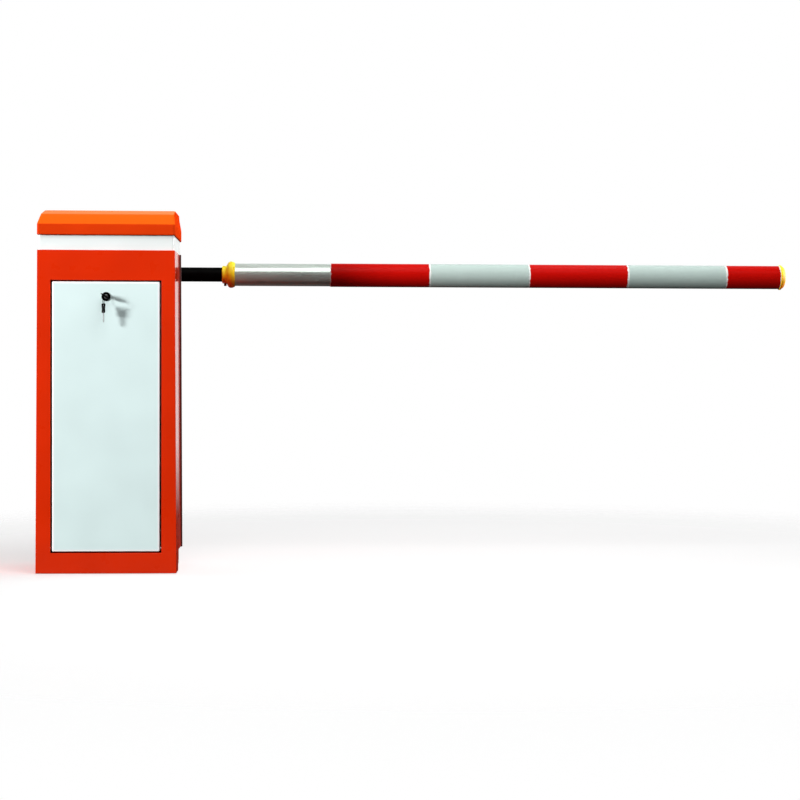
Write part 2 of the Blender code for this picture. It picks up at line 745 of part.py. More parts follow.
def motor_cable():
    """From the controller tray round the edge of the machine plate to the motor's terminal box."""
    box_side = WORM_X + 0.0688
    route = [
        (0.0953, -0.015, 0.200), (0.110, -0.015, 0.200), (0.130, -0.008, 0.212),
        (0.143, 0.012, 0.240), (0.149, 0.038, 0.280), (0.151, 0.060, 0.325),
        (0.150, 0.076, 0.365), (0.147, 0.084, 0.392), (0.137, 0.085, 0.405),
        (box_side, 0.085, 0.405),
    ]
    return wire("motor_cable", smooth_route(route, 3), 0.004, BLACK_PLASTIC)


def smooth_route(points, steps):
    """Catmull-Rom curve through the points."""
    points = [Vector(p) for p in points]
    ends = [2 * points[0] - points[1]] + points + [2 * points[-1] - points[-2]]
    made = []
    for a, b, c, d in zip(ends, ends[1:], ends[2:], ends[3:]):
        for i in range(steps):
            t = i / steps
            made.append(0.5 * (2 * b + (c - a) * t + (2 * a - 5 * b + 4 * c - d) * t * t
                               + (3 * b - a - 3 * c + d) * t ** 3))
    made.append(points[-1])
    return made


def limit_switch(name, side):
    """Switch above (side 1) or below (side -1) the shaft, on a bracket from the machine plate."""
    near, far, bracket = BOOM_Z + side * 0.0355, BOOM_Z + side * 0.068, BOOM_Z + side * 0.048
    low, high = sorted((near, far))
    switch = block(name, (-0.010, ROD_FRONT, low), (0.010, ROD_BACK, high), BLACK_PLASTIC)
    low, high = sorted((bracket, far))
    join(switch, block("switch_bracket", (-0.010, ROD_BACK - 0.002, low),
                       (0.010, PLATE_FRONT - GAP, high), ZINC))
    return switch


BUFFER_R = 0.010


def buffer(name, side):
    """Round rubber stop, touched by one edge of the lever at the end of its travel."""
    along, across = 0.062 * math.sqrt(0.5), (0.014 + GAP + BUFFER_R) * math.sqrt(0.5)
    x, z = side * (along - across), BOOM_Z - along - across
    outline = [
        (0, PLATE_FRONT - GAP), (0.006, PLATE_FRONT - GAP), (0.006, LEVER_BACK + 0.002),
        (BUFFER_R, LEVER_BACK), (BUFFER_R, LEVER_FRONT), (0, LEVER_FRONT),
    ]
    return turned(name, outline, RUBBER, (x, 0, z), "Y", SMALL_ROUND)


SPRING_X = -PIN_OFFSET
SPRING_YS = {"balance_spring_front": -0.056, "balance_spring_rear": -0.031}
SPRING_PIN_Z = BOOM_Z + PIN_OFFSET
SPRING_FOOT_Z = 0.416


def spring_anchor():
    """Bar from the machine plate with an eye for each spring."""
    top = SPRING_FOOT_Z - GAP
    return block("spring_anchor", (SPRING_X - 0.012, -0.068, top - 0.018),
                 (SPRING_X + 0.012, PLATE_FRONT - GAP, top), ZINC, 0.002)


def balance_spring(name, y):
    """Outer shape of a hooked tension spring."""
    top = SPRING_PIN_Z - 0.006 - GAP
    outline = [
        (0, top), (0.003, top), (0.003, top - 0.030), (0.011, top - 0.040),
        (0.011, SPRING_FOOT_Z + 0.040), (0.003, SPRING_FOOT_Z + 0.030), (0.003, SPRING_FOOT_Z),
        (0, SPRING_FOOT_Z),
    ]
    return turned(name, outline, STEEL, (SPRING_X, y, 0), sides=12)


def build_machinery():
    machine_plate()
    bearing_housing()
    flange_bearing()
    rear_bearing()
    shaft_seal()
    gear_case()
    motor()
    fan_cover()
    controller_tray()
    circuit_board()
    motor_cable()
    limit_switch("limit_switch_upper", 1)
    limit_switch("limit_switch_lower", -1)
    buffer("buffer_closed", 1)
    buffer("buffer_open", -1)
    spring_anchor()
    for name, y in SPRING_YS.items():
        balance_spring(name, y)


# ---------------------------------------------------------------- boom and its drive

def main_shaft():
    return rod("main_shaft", (0, -0.034, BOOM_Z), (0, 0.1597, BOOM_Z), SHAFT_R, STEEL)


def stadium(half_length, radius, steps=6):
    """Outline of a bar with round ends."""
    return (arc((half_length, 0), radius, -90, 90, steps)
            + arc((-half_length, 0), radius, 90, 270, steps))


def along_y(outer, front, back, at, bore=None, sides=SMALL_ROUND):
    """A helper bar, or ring if it has a bore, along Y."""
    x, z = at
    if bore:
        return ring("boss", outer, bore, front, back, STEEL, (x, 0, z), "Y", sides)
    return rod("pin", (x, front, z), (x, back, z), outer, STEEL, sides)


def lever():
    """Two-ended lever on the shaft: the rod's pin at one end, the springs' pin at the other."""
    middle = (LEVER_FRONT + LEVER_BACK) / 2
    bar = flat_plate("lever", stadium(ARM, 0.014), LEVER_BACK - LEVER_FRONT, CAST,
                     (0, middle, BOOM_Z), (math.pi / 2, math.pi / 4, 0))
    join(bar, along_y(0.032, LEVER_FRONT, LEVER_BACK, (0, BOOM_Z), sides=ROUND))
    join(bar, along_y(0.006, ROD_FRONT - 0.006, LEVER_BACK - 0.002,
                      (PIN_OFFSET, BOOM_Z - PIN_OFFSET)))
    join(bar, along_y(0.006, -0.072, LEVER_BACK - 0.002, (-PIN_OFFSET, BOOM_Z + PIN_OFFSET)))
    cut(bar, along_y(SHAFT_R + GAP, -0.03, 0.01, (0, BOOM_Z), sides=ROUND))
    return bar


def limit_cam():
    """Disc with one lobe on the shaft's front end, which trips the switches."""
    lobe = arc((0, 0), 0.0345, -25, 25, 4)
    round_part = arc((0, 0), 0.029, 35, 325, 16)
    cam = flat_plate("limit_cam", lobe + round_part, 0.010, BLACK_PLASTIC, (0, -0.024, BOOM_Z),
                     (math.pi / 2, 0, 0))
    cut(cam, along_y(SHAFT_R + GAP, -0.04, 0, (0, BOOM_Z), sides=ROUND))
    return cam


HUB_FRONT = 0.160
HOLDER_FRONT = 0.1753
HOLDER_BACK = BOOM_Y - INNER_TUBE_R - GAP


def hub_flange():
    outline = [
        (0, 0.175), (0.050, 0.175), (0.050, 0.166), (0.034, HUB_FRONT + 0.003),
        (0.034, HUB_FRONT), (0, HUB_FRONT),
    ]
    return turned("hub_flange", outline, CAST, (0, 0, BOOM_Z), "Y")


U_BOLT_XS = {"u_bolt_inner": -0.060, "u_bolt_outer": 0.120}
U_BOLT_R = 0.004
U_BOLT_ARM = INNER_TUBE_R + U_BOLT_R + GAP


def boom_holder():
    """Channel on the hub that the inner tube lies in."""
    holder = block("boom_holder", (-0.090, HOLDER_FRONT, BOOM_Z - 0.040),
                   (0.160, HOLDER_BACK, BOOM_Z + 0.040), BLACK_PAINT)
    for side in (-1, 1):
        low, high = sorted((BOOM_Z + side * 0.034, BOOM_Z + side * 0.040))
        join(holder, block("holder_lip", (-0.090, HOLDER_FRONT, low), (0.160, BOOM_Y - 0.004, high),
                           BLACK_PAINT))
        for x in U_BOLT_XS.values():
            cut(holder, along_y(0.0045, 0.17, 0.19, (x, BOOM_Z + side * U_BOLT_ARM), sides=12))
    return holder


def u_bolt(name, x):
    legs_end = 0.1625
    bend = arc((BOOM_Y, BOOM_Z), U_BOLT_ARM, -90, 90, 10)
    points = [(x, legs_end, BOOM_Z - U_BOLT_ARM)]
    points += [(x, y, z) for y, z in bend]
    points.append((x, legs_end, BOOM_Z + U_BOLT_ARM))
    bolt = wire(name, points, U_BOLT_R, ZINC)
    for side in (-1, 1):
        join(bolt, along_y(0.0075, 0.1665, HOLDER_FRONT - GAP, (x, BOOM_Z + side * U_BOLT_ARM),
                           sides=6))
    return bolt


def inner_tube():
    return ring("inner_tube", INNER_TUBE_R, 0.018, INNER_TUBE_LEFT, INNER_TUBE_RIGHT, BLACK_PAINT,
                (0, BOOM_Y, BOOM_Z), "X")


def inner_bush():
    """Plastic ring on the tube's end that centres the pole."""
    outline = [
        (0.0296, 0.712), (0.0296, 0.685), (INNER_TUBE_R + GAP, 0.685),
        (INNER_TUBE_R + GAP, 0.712),
    ]
    return turned("inner_bush", outline, YELLOW, (0, BOOM_Y, BOOM_Z), "X")


def pole_collar():
    """Flared collar at the pole's near end, with a spigot inside the pole."""
    lip = POLE_LEFT - 0.019
    bore = INNER_TUBE_R + 0.0005
    outline = [
        (bore, POLE_LEFT + 0.024), (0.0296, POLE_LEFT + 0.024), (0.0296, POLE_LEFT - GAP),
        (0.0390, POLE_LEFT - GAP), (0.0390, lip), (0.0255, lip - 0.004),
        (0.0255, COLLAR_LEFT), (bore, COLLAR_LEFT),
    ]
    collar = turned("pole_collar", outline, YELLOW, (0, BOOM_Y, BOOM_Z), "X")
    cut(collar, rod("screw_hole", (CLAMP_X, BOOM_Y, BOOM_Z - 0.040),
                    (CLAMP_X, BOOM_Y, BOOM_Z - 0.010), 0.0043, STEEL, 12))
    return collar


def clamp_screw():
    return rod("clamp_screw", (CLAMP_X, BOOM_Y, BOOM_Z - 0.0335),
               (CLAMP_X, BOOM_Y, BOOM_Z - 0.0216), 0.0040, STEEL, 12)


def pole_tube():
    return ring("pole_tube", POLE_R, POLE_BORE_R, POLE_LEFT, POLE_RIGHT, ALUMINIUM,
                (0, BOOM_Y, BOOM_Z), "X")


def sleeve(name, left, right, mat):
    return ring(name, SLEEVE_R, POLE_R + GAP, left + GAP, right - GAP, mat,
                (0, BOOM_Y, BOOM_Z), "X")


def sleeves():
    """Red and pale reflective sleeves in turn, the last one cut short by the pole's end."""
    names = ("red_film_1", "pale_film_1", "red_film_2", "pale_film_2", "red_film_3")
    made = []
    for i, name in enumerate(names):
        left = SLEEVE_LEFT + i * SLEEVE_LENGTH
        right = min(left + SLEEVE_LENGTH, POLE_RIGHT)
        made.append(sleeve(name, left, right, RED_FILM if i % 2 == 0 else PALE_FILM))
    return made


def end_cap():
    face = POLE_RIGHT + GAP
    outline = [
        (0, face + 0.017), (0.022, face + 0.016), (0.033, face + 0.011), (END_CAP_R, face + 0.004),
        (END_CAP_R, face), (POLE_BORE_R - 0.0004, face), (POLE_BORE_R - 0.0004, face - 0.025),
        (0, face - 0.025),
    ]
    return turned("end_cap", outline, YELLOW, (0, BOOM_Y, BOOM_Z), "X")


def output_shaft():
    """Gearbox output shaft with its crank."""
    shaft = rod("crank", (0, LEVER_FRONT, GEARBOX_Z), (0, 0.108, GEARBOX_Z), 0.015, STEEL)
    middle = (LEVER_FRONT + LEVER_BACK) / 2
    half = PIN_OFFSET / 2
    arm = flat_plate("crank_arm", stadium(ARM / 2, 0.016), LEVER_BACK - LEVER_FRONT, CAST,
                     (half, middle, GEARBOX_Z - half), (math.pi / 2, math.pi / 4, 0))
    hub = along_y(0.024, LEVER_FRONT, LEVER_BACK, (0, GEARBOX_Z), sides=ROUND)
    pin = along_y(0.006, ROD_FRONT - 0.006, LEVER_BACK - 0.002,
                  (PIN_OFFSET, GEARBOX_Z - PIN_OFFSET))
    join(shaft, arm, hub, pin)
    return shaft


def worm_wheel():
    return ring("worm_wheel", WHEEL_R, 0.0153, WORM_Y - 0.010, WORM_Y + 0.010, BRONZE,
                (0, 0, GEARBOX_Z), "Y")


def connecting_rod():
    """Rod with an eye at each end, upright between the lever and the crank."""
    top, bottom = BOOM_Z - PIN_OFFSET, GEARBOX_Z - PIN_OFFSET
    link = rod("connecting_rod", (PIN_OFFSET, -0.025, bottom), (PIN_OFFSET, -0.025, top), 0.006,
               STEEL, SMALL_ROUND)
    for z in (top, bottom):
        join(link, along_y(0.013, ROD_FRONT, ROD_BACK, (PIN_OFFSET, z)))
        cut(link, along_y(0.0066, -0.05, 0, (PIN_OFFSET, z)))
    return link


def worm_shaft():
    """Motor shaft with the worm at its top and the cooling fan at its foot."""
    outline = [
        (0, 0.585), (0.006, 0.585), (0.006, 0.578), (WORM_R, 0.576), (WORM_R, 0.514),
        (0.008, 0.512), (0.008, 0.280), (0.040, 0.278), (0.040, 0.262), (0, 0.262),
    ]
    return turned("worm_shaft", outline, STEEL, (WORM_X, WORM_Y, 0))


def build_boom():
    boom = pivot("boom_pivot", (0, BOOM_Y, BOOM_Z))
    pole = pivot("pole_slide", (POLE_LEFT, BOOM_Y, BOOM_Z), boom)
    ride(boom, main_shaft(), lever(), limit_cam(), hub_flange(), boom_holder(), inner_tube(),
         inner_bush())
    for name, x in U_BOLT_XS.items():
        ride(boom, u_bolt(name, x))
    ride(pole, pole_tube(), pole_collar(), clamp_screw(), end_cap(), *sleeves())


def build_drive():
    crank = pivot("crank_pivot", (0, 0, GEARBOX_Z))
    link = pivot("rod_pivot", (PIN_OFFSET, -0.025, GEARBOX_Z - PIN_OFFSET), crank)
    worm = pivot("worm_pivot", (WORM_X, WORM_Y, 0.4))
    ride(crank, output_shaft(), worm_wheel())
    ride(link, connecting_rod())
    ride(worm, worm_shaft())


build_cabinet()
build_door()
build_machinery()
build_boom()
build_drive()
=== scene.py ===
"""Looks of the parking barrier gate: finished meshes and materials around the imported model.

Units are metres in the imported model's frame. +X runs along the boom, the cabinet's front faces -Y,
and +Z is up. Each section builds one group of pieces; `stand_for` shows a piece in place of the CAD
node of that name, on the same body and with the same material slot.
"""

import json
import random
from math import cos, pi, radians, sin, sqrt, tan

import bmesh
import bpy
from mathutils import Matrix, Vector

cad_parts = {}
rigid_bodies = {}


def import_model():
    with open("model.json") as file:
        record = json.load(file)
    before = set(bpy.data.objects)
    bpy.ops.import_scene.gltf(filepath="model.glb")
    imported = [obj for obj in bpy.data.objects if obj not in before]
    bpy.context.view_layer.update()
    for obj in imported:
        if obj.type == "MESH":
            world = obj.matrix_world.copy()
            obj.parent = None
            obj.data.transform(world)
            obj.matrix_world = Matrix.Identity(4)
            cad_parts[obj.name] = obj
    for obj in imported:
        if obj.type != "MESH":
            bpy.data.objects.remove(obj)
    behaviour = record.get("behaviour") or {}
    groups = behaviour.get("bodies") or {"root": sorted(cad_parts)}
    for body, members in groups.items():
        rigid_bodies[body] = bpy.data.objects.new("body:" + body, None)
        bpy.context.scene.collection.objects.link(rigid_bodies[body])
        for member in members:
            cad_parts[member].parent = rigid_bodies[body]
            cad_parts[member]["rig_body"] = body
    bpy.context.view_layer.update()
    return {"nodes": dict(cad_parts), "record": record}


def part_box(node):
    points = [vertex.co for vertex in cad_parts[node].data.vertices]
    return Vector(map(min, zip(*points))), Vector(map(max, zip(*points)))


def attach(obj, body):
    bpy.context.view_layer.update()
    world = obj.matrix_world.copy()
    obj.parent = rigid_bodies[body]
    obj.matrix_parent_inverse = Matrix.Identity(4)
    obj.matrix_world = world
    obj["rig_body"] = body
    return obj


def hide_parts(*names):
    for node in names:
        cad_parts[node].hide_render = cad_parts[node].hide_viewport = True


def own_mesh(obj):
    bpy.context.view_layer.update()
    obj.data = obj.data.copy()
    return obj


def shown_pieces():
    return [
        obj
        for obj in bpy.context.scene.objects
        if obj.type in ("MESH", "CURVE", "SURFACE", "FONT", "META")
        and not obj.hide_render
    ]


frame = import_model()

# ---- sizes shared with the CAD model

HALF = 0.1887                  # half the cabinet's width at the top of the body
FRONT = -0.15
REAR = 0.15
BODY_TOP = 0.892
NECK_TOP = 0.934
HOOD_TOP = 1.01
GAP = 0.0003
STUD_X = 0.15

DOOR_HALF = 0.1473
DOOR_LOW = 0.061
DOOR_HIGH = 0.805
DOOR_FRONT = -0.151
DOOR_BACK = -0.133
DOOR_SHEET = 0.002
LOCK_Z = 0.764

BOOM_Y = 0.2
BOOM_Z = 0.845
SHAFT_R = 0.02
ON_SHAFT = (0, 0, BOOM_Z)
ON_BOOM = (0, BOOM_Y, BOOM_Z)
GEARBOX_Z = 0.545
WORM_X = 0.057
WORM_Y = 0.085
ON_WORM = (WORM_X, WORM_Y, 0)
ON_WHEEL = (0, 0, GEARBOX_Z)
COLLAR_LEFT = 0.303
POLE_LEFT = 0.341
POLE_RIGHT = 1.965
POLE_R = 0.033
POLE_BORE_R = 0.03
INNER_TUBE_R = 0.021
SLEEVE_R = 0.0345
SLEEVE_LEFT = 0.621
SLEEVE_LENGTH = 0.295

ROUND = 64                     # sides of a large round piece
SMALL_ROUND = 32


# ---- materials

class Nodes:
    """Adds nodes to one node tree."""

    def __init__(self, tree):
        self.tree = tree

    def node(self, kind, feeds=None, **settings):
        """New node. feeds gives what its inputs take: a value, or the output one comes from."""
        made = self.tree.nodes.new(kind)
        for name, value in settings.items():
            setattr(made, name, value)
        for socket, value in (feeds or {}).items():
            if isinstance(value, bpy.types.NodeSocket):
                self.link(value, made.inputs[socket])
            else:
                made.inputs[socket].default_value = value
        return made

    def link(self, start, end):
        self.tree.links.new(start, end)

    def split(self, vector):
        """The vector's X, Y and Z."""
        return self.node("ShaderNodeSeparateXYZ", {"Vector": vector}).outputs

    def scaled(self, value, low, high, to_low=0.0, to_high=1.0, **settings):
        """The value stretched from one range to the other, and kept inside it."""
        feeds = {"Value": value, "From Min": low, "From Max": high, "To Min": to_low, "To Max": to_high}
        return self.node("ShaderNodeMapRange", feeds, **settings).outputs["Result"]

    def joined(self, operation, one, other):
        """Two values added or multiplied."""
        return self.node("ShaderNodeMath", {0: one, 1: other}, operation=operation).outputs["Value"]

    def show(self, factor, one, other, output):
        """Shows the first shader where the factor is 0, the second where it is 1."""
        mix = self.node("ShaderNodeMixShader", {"Fac": factor, 1: one.outputs[0], 2: other.outputs[0]})
        self.link(mix.outputs[0], output.inputs["Surface"])


class Finish(Nodes):
    """A Principled material whose detail comes from layers in the piece's own coordinates."""

    def __init__(self, name, colour, roughness, metallic=0.0, **sockets):
        self.material = bpy.data.materials.new(name)
        self.material.use_nodes = True
        super().__init__(self.material.node_tree)
        self.shader = self.tree.nodes["Principled BSDF"]
        self.set("Base Color", (*colour, 1.0))
        self.set("Roughness", roughness)
        self.set("Metallic", metallic)
        for socket, value in sockets.items():
            self.set(socket.replace("_", " "), value)
        self.place = self.node("ShaderNodeTexCoord").outputs["Object"]
        self.normal = None

    def set(self, socket, value):
        self.shader.inputs[socket].default_value = value

    def pattern(self, kind, per_metre, stretch, **feeds):
        mapping = self.node("ShaderNodeMapping", {"Scale": stretch, "Vector": self.place})
        return self.node(kind, {"Scale": per_metre, "Vector": mapping.outputs["Vector"], **feeds})

    def noise(self, per_metre, detail=3.0, stretch=(1, 1, 1)):
        """Soft noise with about this many blotches per metre."""
        return self.pattern("ShaderNodeTexNoise", per_metre, stretch, Detail=detail).outputs["Fac"]

    def cells(self, per_metre, output="Distance", stretch=(1, 1, 1)):
        """Cell pattern: the distance to each cell's middle, or a random colour for each cell."""
        return self.pattern("ShaderNodeTexVoronoi", per_metre, stretch).outputs[output]

    def ramp(self, factor, *stops):
        """Colours along a factor, from (place, colour) stops."""
        made = self.node("ShaderNodeValToRGB", {"Fac": factor})
        elements = made.color_ramp.elements
        while len(elements) < len(stops):
            elements.new(0.5)
        for element, (place, colour) in zip(elements, stops):
            element.position = place
            element.color = (*colour, 1.0)
        return made.outputs["Color"]

    def tones(self, factor, one, other, low=0.3, high=0.7):
        """Base colour that runs from one tone to the other over this part of the factor."""
        self.colour(self.ramp(factor, (low, one), (high, other)))

    def mixed(self, factor, one, other):
        """The first colour where the factor is 0, the second where it is 1."""
        mix = self.node("ShaderNodeMix", {"Factor": factor}, data_type="RGBA")
        for socket, colour in (("A", one), ("B", other)):
            target = [s for s in mix.inputs if s.name == socket and s.type == "RGBA"][0]
            if isinstance(colour, tuple):
                target.default_value = (*colour, 1.0)
            else:
                self.link(colour, target)
        return [s for s in mix.outputs if s.type == "RGBA"][0]

    def colour(self, source):
        self.link(source, self.shader.inputs["Base Color"])

    def over(self, factor, colour):
        """Lays another colour over the present one where the factor is 1."""
        under = self.shader.inputs["Base Color"].links[0].from_socket
        self.colour(self.mixed(factor, under, colour))

    def facing(self):
        """How far the surface looks up: 1 on top, 0 on a wall, -1 underneath."""
        return self.split(self.node("ShaderNodeNewGeometry").outputs["Normal"])["Z"]

    def rough(self, factor, low, high):
        self.link(self.scaled(factor, 0.3, 0.7, low, high), self.shader.inputs["Roughness"])

    def relief(self, height, depth):
        """Bumps of this depth in metres, on top of any earlier ones."""
        bump = self.node("ShaderNodeBump", {"Distance": depth, "Height": height})
        if self.normal:
            self.link(self.normal, bump.inputs["Normal"])
        self.normal = bump.outputs["Normal"]
        self.link(self.normal, self.shader.inputs["Normal"])

    def attribute(self, name):
        return self.node("ShaderNodeAttribute", attribute_name=name).outputs["Fac"]


def shade(colour, amount):
    return tuple(min(1.0, part * amount) for part in colour)


DUST_TOP = 0.16                # dust settles below this height
DUST = 0.06                    # how much of it there is at the foot


def powder_coat(name, colour, roughness, spread=0.05, gloss=0.8):
    """Sprayed and baked paint: orange-peel skin, slight blotches, some settled dust low down."""
    paint = Finish(name, colour, roughness, Specular_IOR_Level=0.1 * gloss, Coat_Weight=gloss,
                   Coat_Roughness=0.06, Coat_IOR=1.45)
    paint.tones(paint.noise(7, 1), shade(colour, 1 - spread), shade(colour, 1 + spread))
    low_down = paint.scaled(paint.split(paint.place)["Z"], 0.0, DUST_TOP, DUST, 0.0)
    speckle = paint.joined("MULTIPLY", low_down, paint.noise(90, 5))
    dust = tuple(0.6 * part + 0.12 for part in colour)
    paint.over(speckle, dust)
    paint.rough(paint.noise(35), roughness - 0.04, roughness + 0.06)
    paint.relief(paint.noise(420, 1), 0.00005)
    paint.relief(paint.noise(9, 1), 0.0006)
    return paint


def hood_paint():
    """The lid's coat with painted light: paler where the surface looks up, and palest on the top bend as a
    painted reflection of light from above.
    """
    paint = powder_coat("hood_paint", (0.66, 0.04, 0.003), 0.28, gloss=0.0)
    up = paint.facing()
    # Painted highlight: lighter orange on the slope, near white on the top bend, by how far the surface
    # looks up.
    pale = paint.ramp(up, (0.8, (0.72, 0.105, 0.006)), (0.9, (0.74, 0.12, 0.012)),
                      (0.98, (0.8, 0.23, 0.08)))
    paint.over(paint.scaled(up, 0.2, 0.75), pale)
    return paint


def yellow_plastic():
    """Moulded yellow plastic with painted shade: amber where the surface looks down."""
    plastic = moulded("yellow_plastic", (0.95, 0.6, 0.02), 0.36, Specular_IOR_Level=0.2,
                      Subsurface_Weight=0.15, Subsurface_Scale=0.004)
    up = plastic.scaled(plastic.facing(), -1.0, 1.0)
    # Painted shade: yellow on top, amber underneath, by which way the surface looks.
    plastic.colour(plastic.ramp(up, (0.12, (0.98, 0.24, 0.008)), (0.5, (0.98, 0.6, 0.012)),
                                (0.8, (0.98, 0.84, 0.03))))
    return plastic


def door_paint():
    """The pale coat, with a painted highlight: whiter along the pan's rolled edge."""
    paint = powder_coat("door_paint", (0.73, 0.88, 0.87), 0.34, 0.03)
    # Painted highlight: near white within a few millimetres of the door's edge.
    edge = paint.scaled(paint.attribute("edge"), 0.0035, 0.007, 1.0, 0.0)
    paint.over(edge, (0.97, 0.97, 0.97))
    return paint


def drawn_aluminium():
    """Extruded tube: fine lines along it and faint wavy bands."""
    metal = Finish("drawn_aluminium", (0.86, 0.87, 0.86), 0.3, 0.55)
    lines = metal.noise(60, 4, (0.03, 14, 14))
    bands = metal.noise(14, 3, (0.25, 4, 4))
    metal.tones(bands, (0.68, 0.78, 0.71), (0.8, 0.9, 0.83))
    metal.rough(bands, 0.24, 0.36)
    metal.relief(lines, 0.0001)
    metal.relief(bands, 0.0003)
    return metal


def zinc_plate():
    """Galvanised steel with its spangle."""
    metal = Finish("zinc_plate", (0.6, 0.6, 0.58), 0.4, 1.0)
    spangle = metal.cells(110, "Color")
    metal.tones(spangle, (0.46, 0.47, 0.47), (0.7, 0.7, 0.67), 0.2, 0.8)
    metal.rough(metal.noise(60), 0.32, 0.5)
    metal.relief(metal.cells(110), 0.00004)
    return metal


def machined_steel():
    """Turned or ground steel with fine tool marks."""
    metal = Finish("machined_steel", (0.5, 0.5, 0.5), 0.3, 1.0)
    marks = metal.noise(600, 4, (1, 1, 6))
    metal.tones(metal.noise(40), (0.42, 0.42, 0.43), (0.58, 0.58, 0.57))
    metal.rough(marks, 0.22, 0.42)
    metal.relief(marks, 0.00003)
    return metal


def cast_metal(name, dark, pale, grain=500):
    """Cast surface with a coarse sand skin."""
    metal = Finish(name, pale, 0.55, 1.0)
    metal.tones(metal.noise(80, 5), dark, pale)
    metal.rough(metal.noise(grain), 0.42, 0.68)
    metal.relief(metal.noise(grain, 3), 0.00016)
    return metal


def moulded(name, colour, roughness, grain_depth=0.00003, spread=0.12, **sockets):
    """Moulded plastic or rubber with a fine spark-eroded grain."""
    plastic = Finish(name, colour, roughness, **sockets)
    plastic.tones(plastic.noise(25, 4), shade(colour, 1 - spread), shade(colour, 1 + spread))
    plastic.rough(plastic.noise(140), roughness - 0.06, roughness + 0.1)
    plastic.relief(plastic.noise(1400, 2), grain_depth)
    return plastic


def film(name, dark, pale):
    """Glass-bead reflective sheeting. Its cut edge shows as a thin, slightly uneven white line."""
    sheeting = Finish(name, pale, 0.34, Specular_IOR_Level=0.03)
    sheeting.tones(sheeting.cells(1300), pale, dark, 0.1, 0.75)
    wobble = sheeting.scaled(sheeting.noise(90, 3), 0.3, 0.7, -0.0012, 0.0012)
    ragged = sheeting.joined("ADD", sheeting.attribute("edge"), wobble)
    white = sheeting.scaled(ragged, 0.0016, 0.0022, 1.0, 0.0)
    sheeting.over(white, (0.82, 0.8, 0.78))
    sheeting.rough(sheeting.noise(30), 0.28, 0.42)
    sheeting.relief(sheeting.cells(1300), 0.00004)
    sheeting.relief(sheeting.noise(12, 2, (1, 3, 3)), 0.0005)
    return sheeting


def board_lacquer():
    """Green solder mask with faint copper tracks under it."""
    board = Finish("board_lacquer", (0.02, 0.2, 0.06), 0.3, Coat_Weight=0.5)
    tracks = board.cells(260, "Distance", (1, 1, 0.25))
    board.tones(tracks, (0.05, 0.33, 0.12), (0.012, 0.13, 0.04), 0.25, 0.45)
    board.rough(board.noise(200), 0.22, 0.36)
    board.relief(tracks, 0.00008)
    return board


FINISHES = {
    "orange_paint": powder_coat("frame_paint", (0.71, 0.025, 0.0015), 0.3),
    "hood_paint": hood_paint(),
    "white_paint": powder_coat("white_paint", (0.84, 0.9, 0.89), 0.34, 0.03),
    "black_rubber": moulded("rubber", (0.018, 0.017, 0.017), 0.75, 0.00008),
    "zinc_plated_steel": zinc_plate(),
    "plain_steel": machined_steel(),
    "cast_aluminium": cast_metal("cast_aluminium", (0.4, 0.41, 0.42), (0.58, 0.59, 0.6)),
    "bronze": cast_metal("bronze", (0.5, 0.3, 0.11), (0.68, 0.44, 0.2), 900),
    "motor_paint": moulded("motor_paint", (0.17, 0.19, 0.21), 0.42, 0.00008, Coat_Weight=0.2),
    "black_plastic": moulded("black_plastic", (0.01, 0.01, 0.01), 0.38, Specular_IOR_Level=0.3),
    "circuit_board": board_lacquer(),
    "black_paint": moulded("black_paint", (0.0015, 0.0015, 0.0015), 0.4, 0.00003, 0.5,
                           Specular_IOR_Level=0.02),
    "yellow_plastic": yellow_plastic(),
    "polished_aluminium": drawn_aluminium(),
    "red_film": film("red_film", (0.42, 0.002, 0.001), (0.6, 0.006, 0.003)),
    "pale_film": film("pale_film", (0.37, 0.46, 0.43), (0.53, 0.64, 0.6)),
}
ZINC = FINISHES["zinc_plated_steel"]
STEEL = FINISHES["plain_steel"]
BLACK_PAINT = FINISHES["black_paint"]
DOOR_PAINT = door_paint()
BRASS = cast_metal("brass", (0.55, 0.4, 0.14), (0.75, 0.58, 0.25), 1500)
CREAM_PLASTIC = moulded("cream_plastic", (0.62, 0.6, 0.5), 0.45)
BLUE_PLASTIC = moulded("blue_plastic", (0.02, 0.1, 0.42), 0.42)
GREEN_PLASTIC = moulded("green_plastic", (0.05, 0.36, 0.1), 0.45)
# Dark seal rubber, tinted maroon as painted shade of the cabinet's rear edge and painted red light thrown
# back from the orange sides.
MAROON_SHADE_RUBBER = moulded("maroon_rubber", (0.085, 0.02, 0.016), 0.6, 0.00006)
BROWN_STEEL = cast_metal("brown_steel", (0.06, 0.025, 0.015), (0.16, 0.07, 0.04), 700)

NODE_SLOTS = {part["node"]: part["material_slot"] for part in frame["record"]["subparts"]}


# ---- mesh building

def new_object(name, data):
    made = bpy.data.objects.new(name, data)
    bpy.context.scene.collection.objects.link(made)
    return made


def merge(bm, part, finish=0, place=None):
    """Adds one mesh to another, with this material index, and frees it."""
    for face in part.faces:
        face.material_index = finish
    if place:
        bmesh.ops.transform(part, matrix=place, verts=part.verts)
    held = bpy.data.meshes.new("held")
    part.to_mesh(held)
    part.free()
    bm.from_mesh(held)
    bpy.data.meshes.remove(held)


AXES = {
    "X": Matrix.Rotation(pi / 2, 4, "Y"),
    "Y": Matrix.Rotation(-pi / 2, 4, "X"),
    "Z": Matrix.Identity(4),
}


def loft(bm, rows, finish=0, place=None, wrap=False, caps=True):
    """Faces between rows of equal point counts. wrap joins the last row to the first."""
    part = bmesh.new()
    made = [[part.verts.new(point) for point in row] for row in rows]
    pairs = list(zip(made, made[1:])) + ([(made[-1], made[0])] if wrap else [])
    for lower, upper in pairs:
        for i in range(len(lower)):
            after = (i + 1) % len(lower)
            part.faces.new((lower[i], lower[after], upper[after], upper[i]))
    if caps and not wrap:
        part.faces.new(made[0][::-1])
        part.faces.new(made[-1])
    bmesh.ops.recalc_face_normals(part, faces=part.faces)
    merge(bm, part, finish, place)


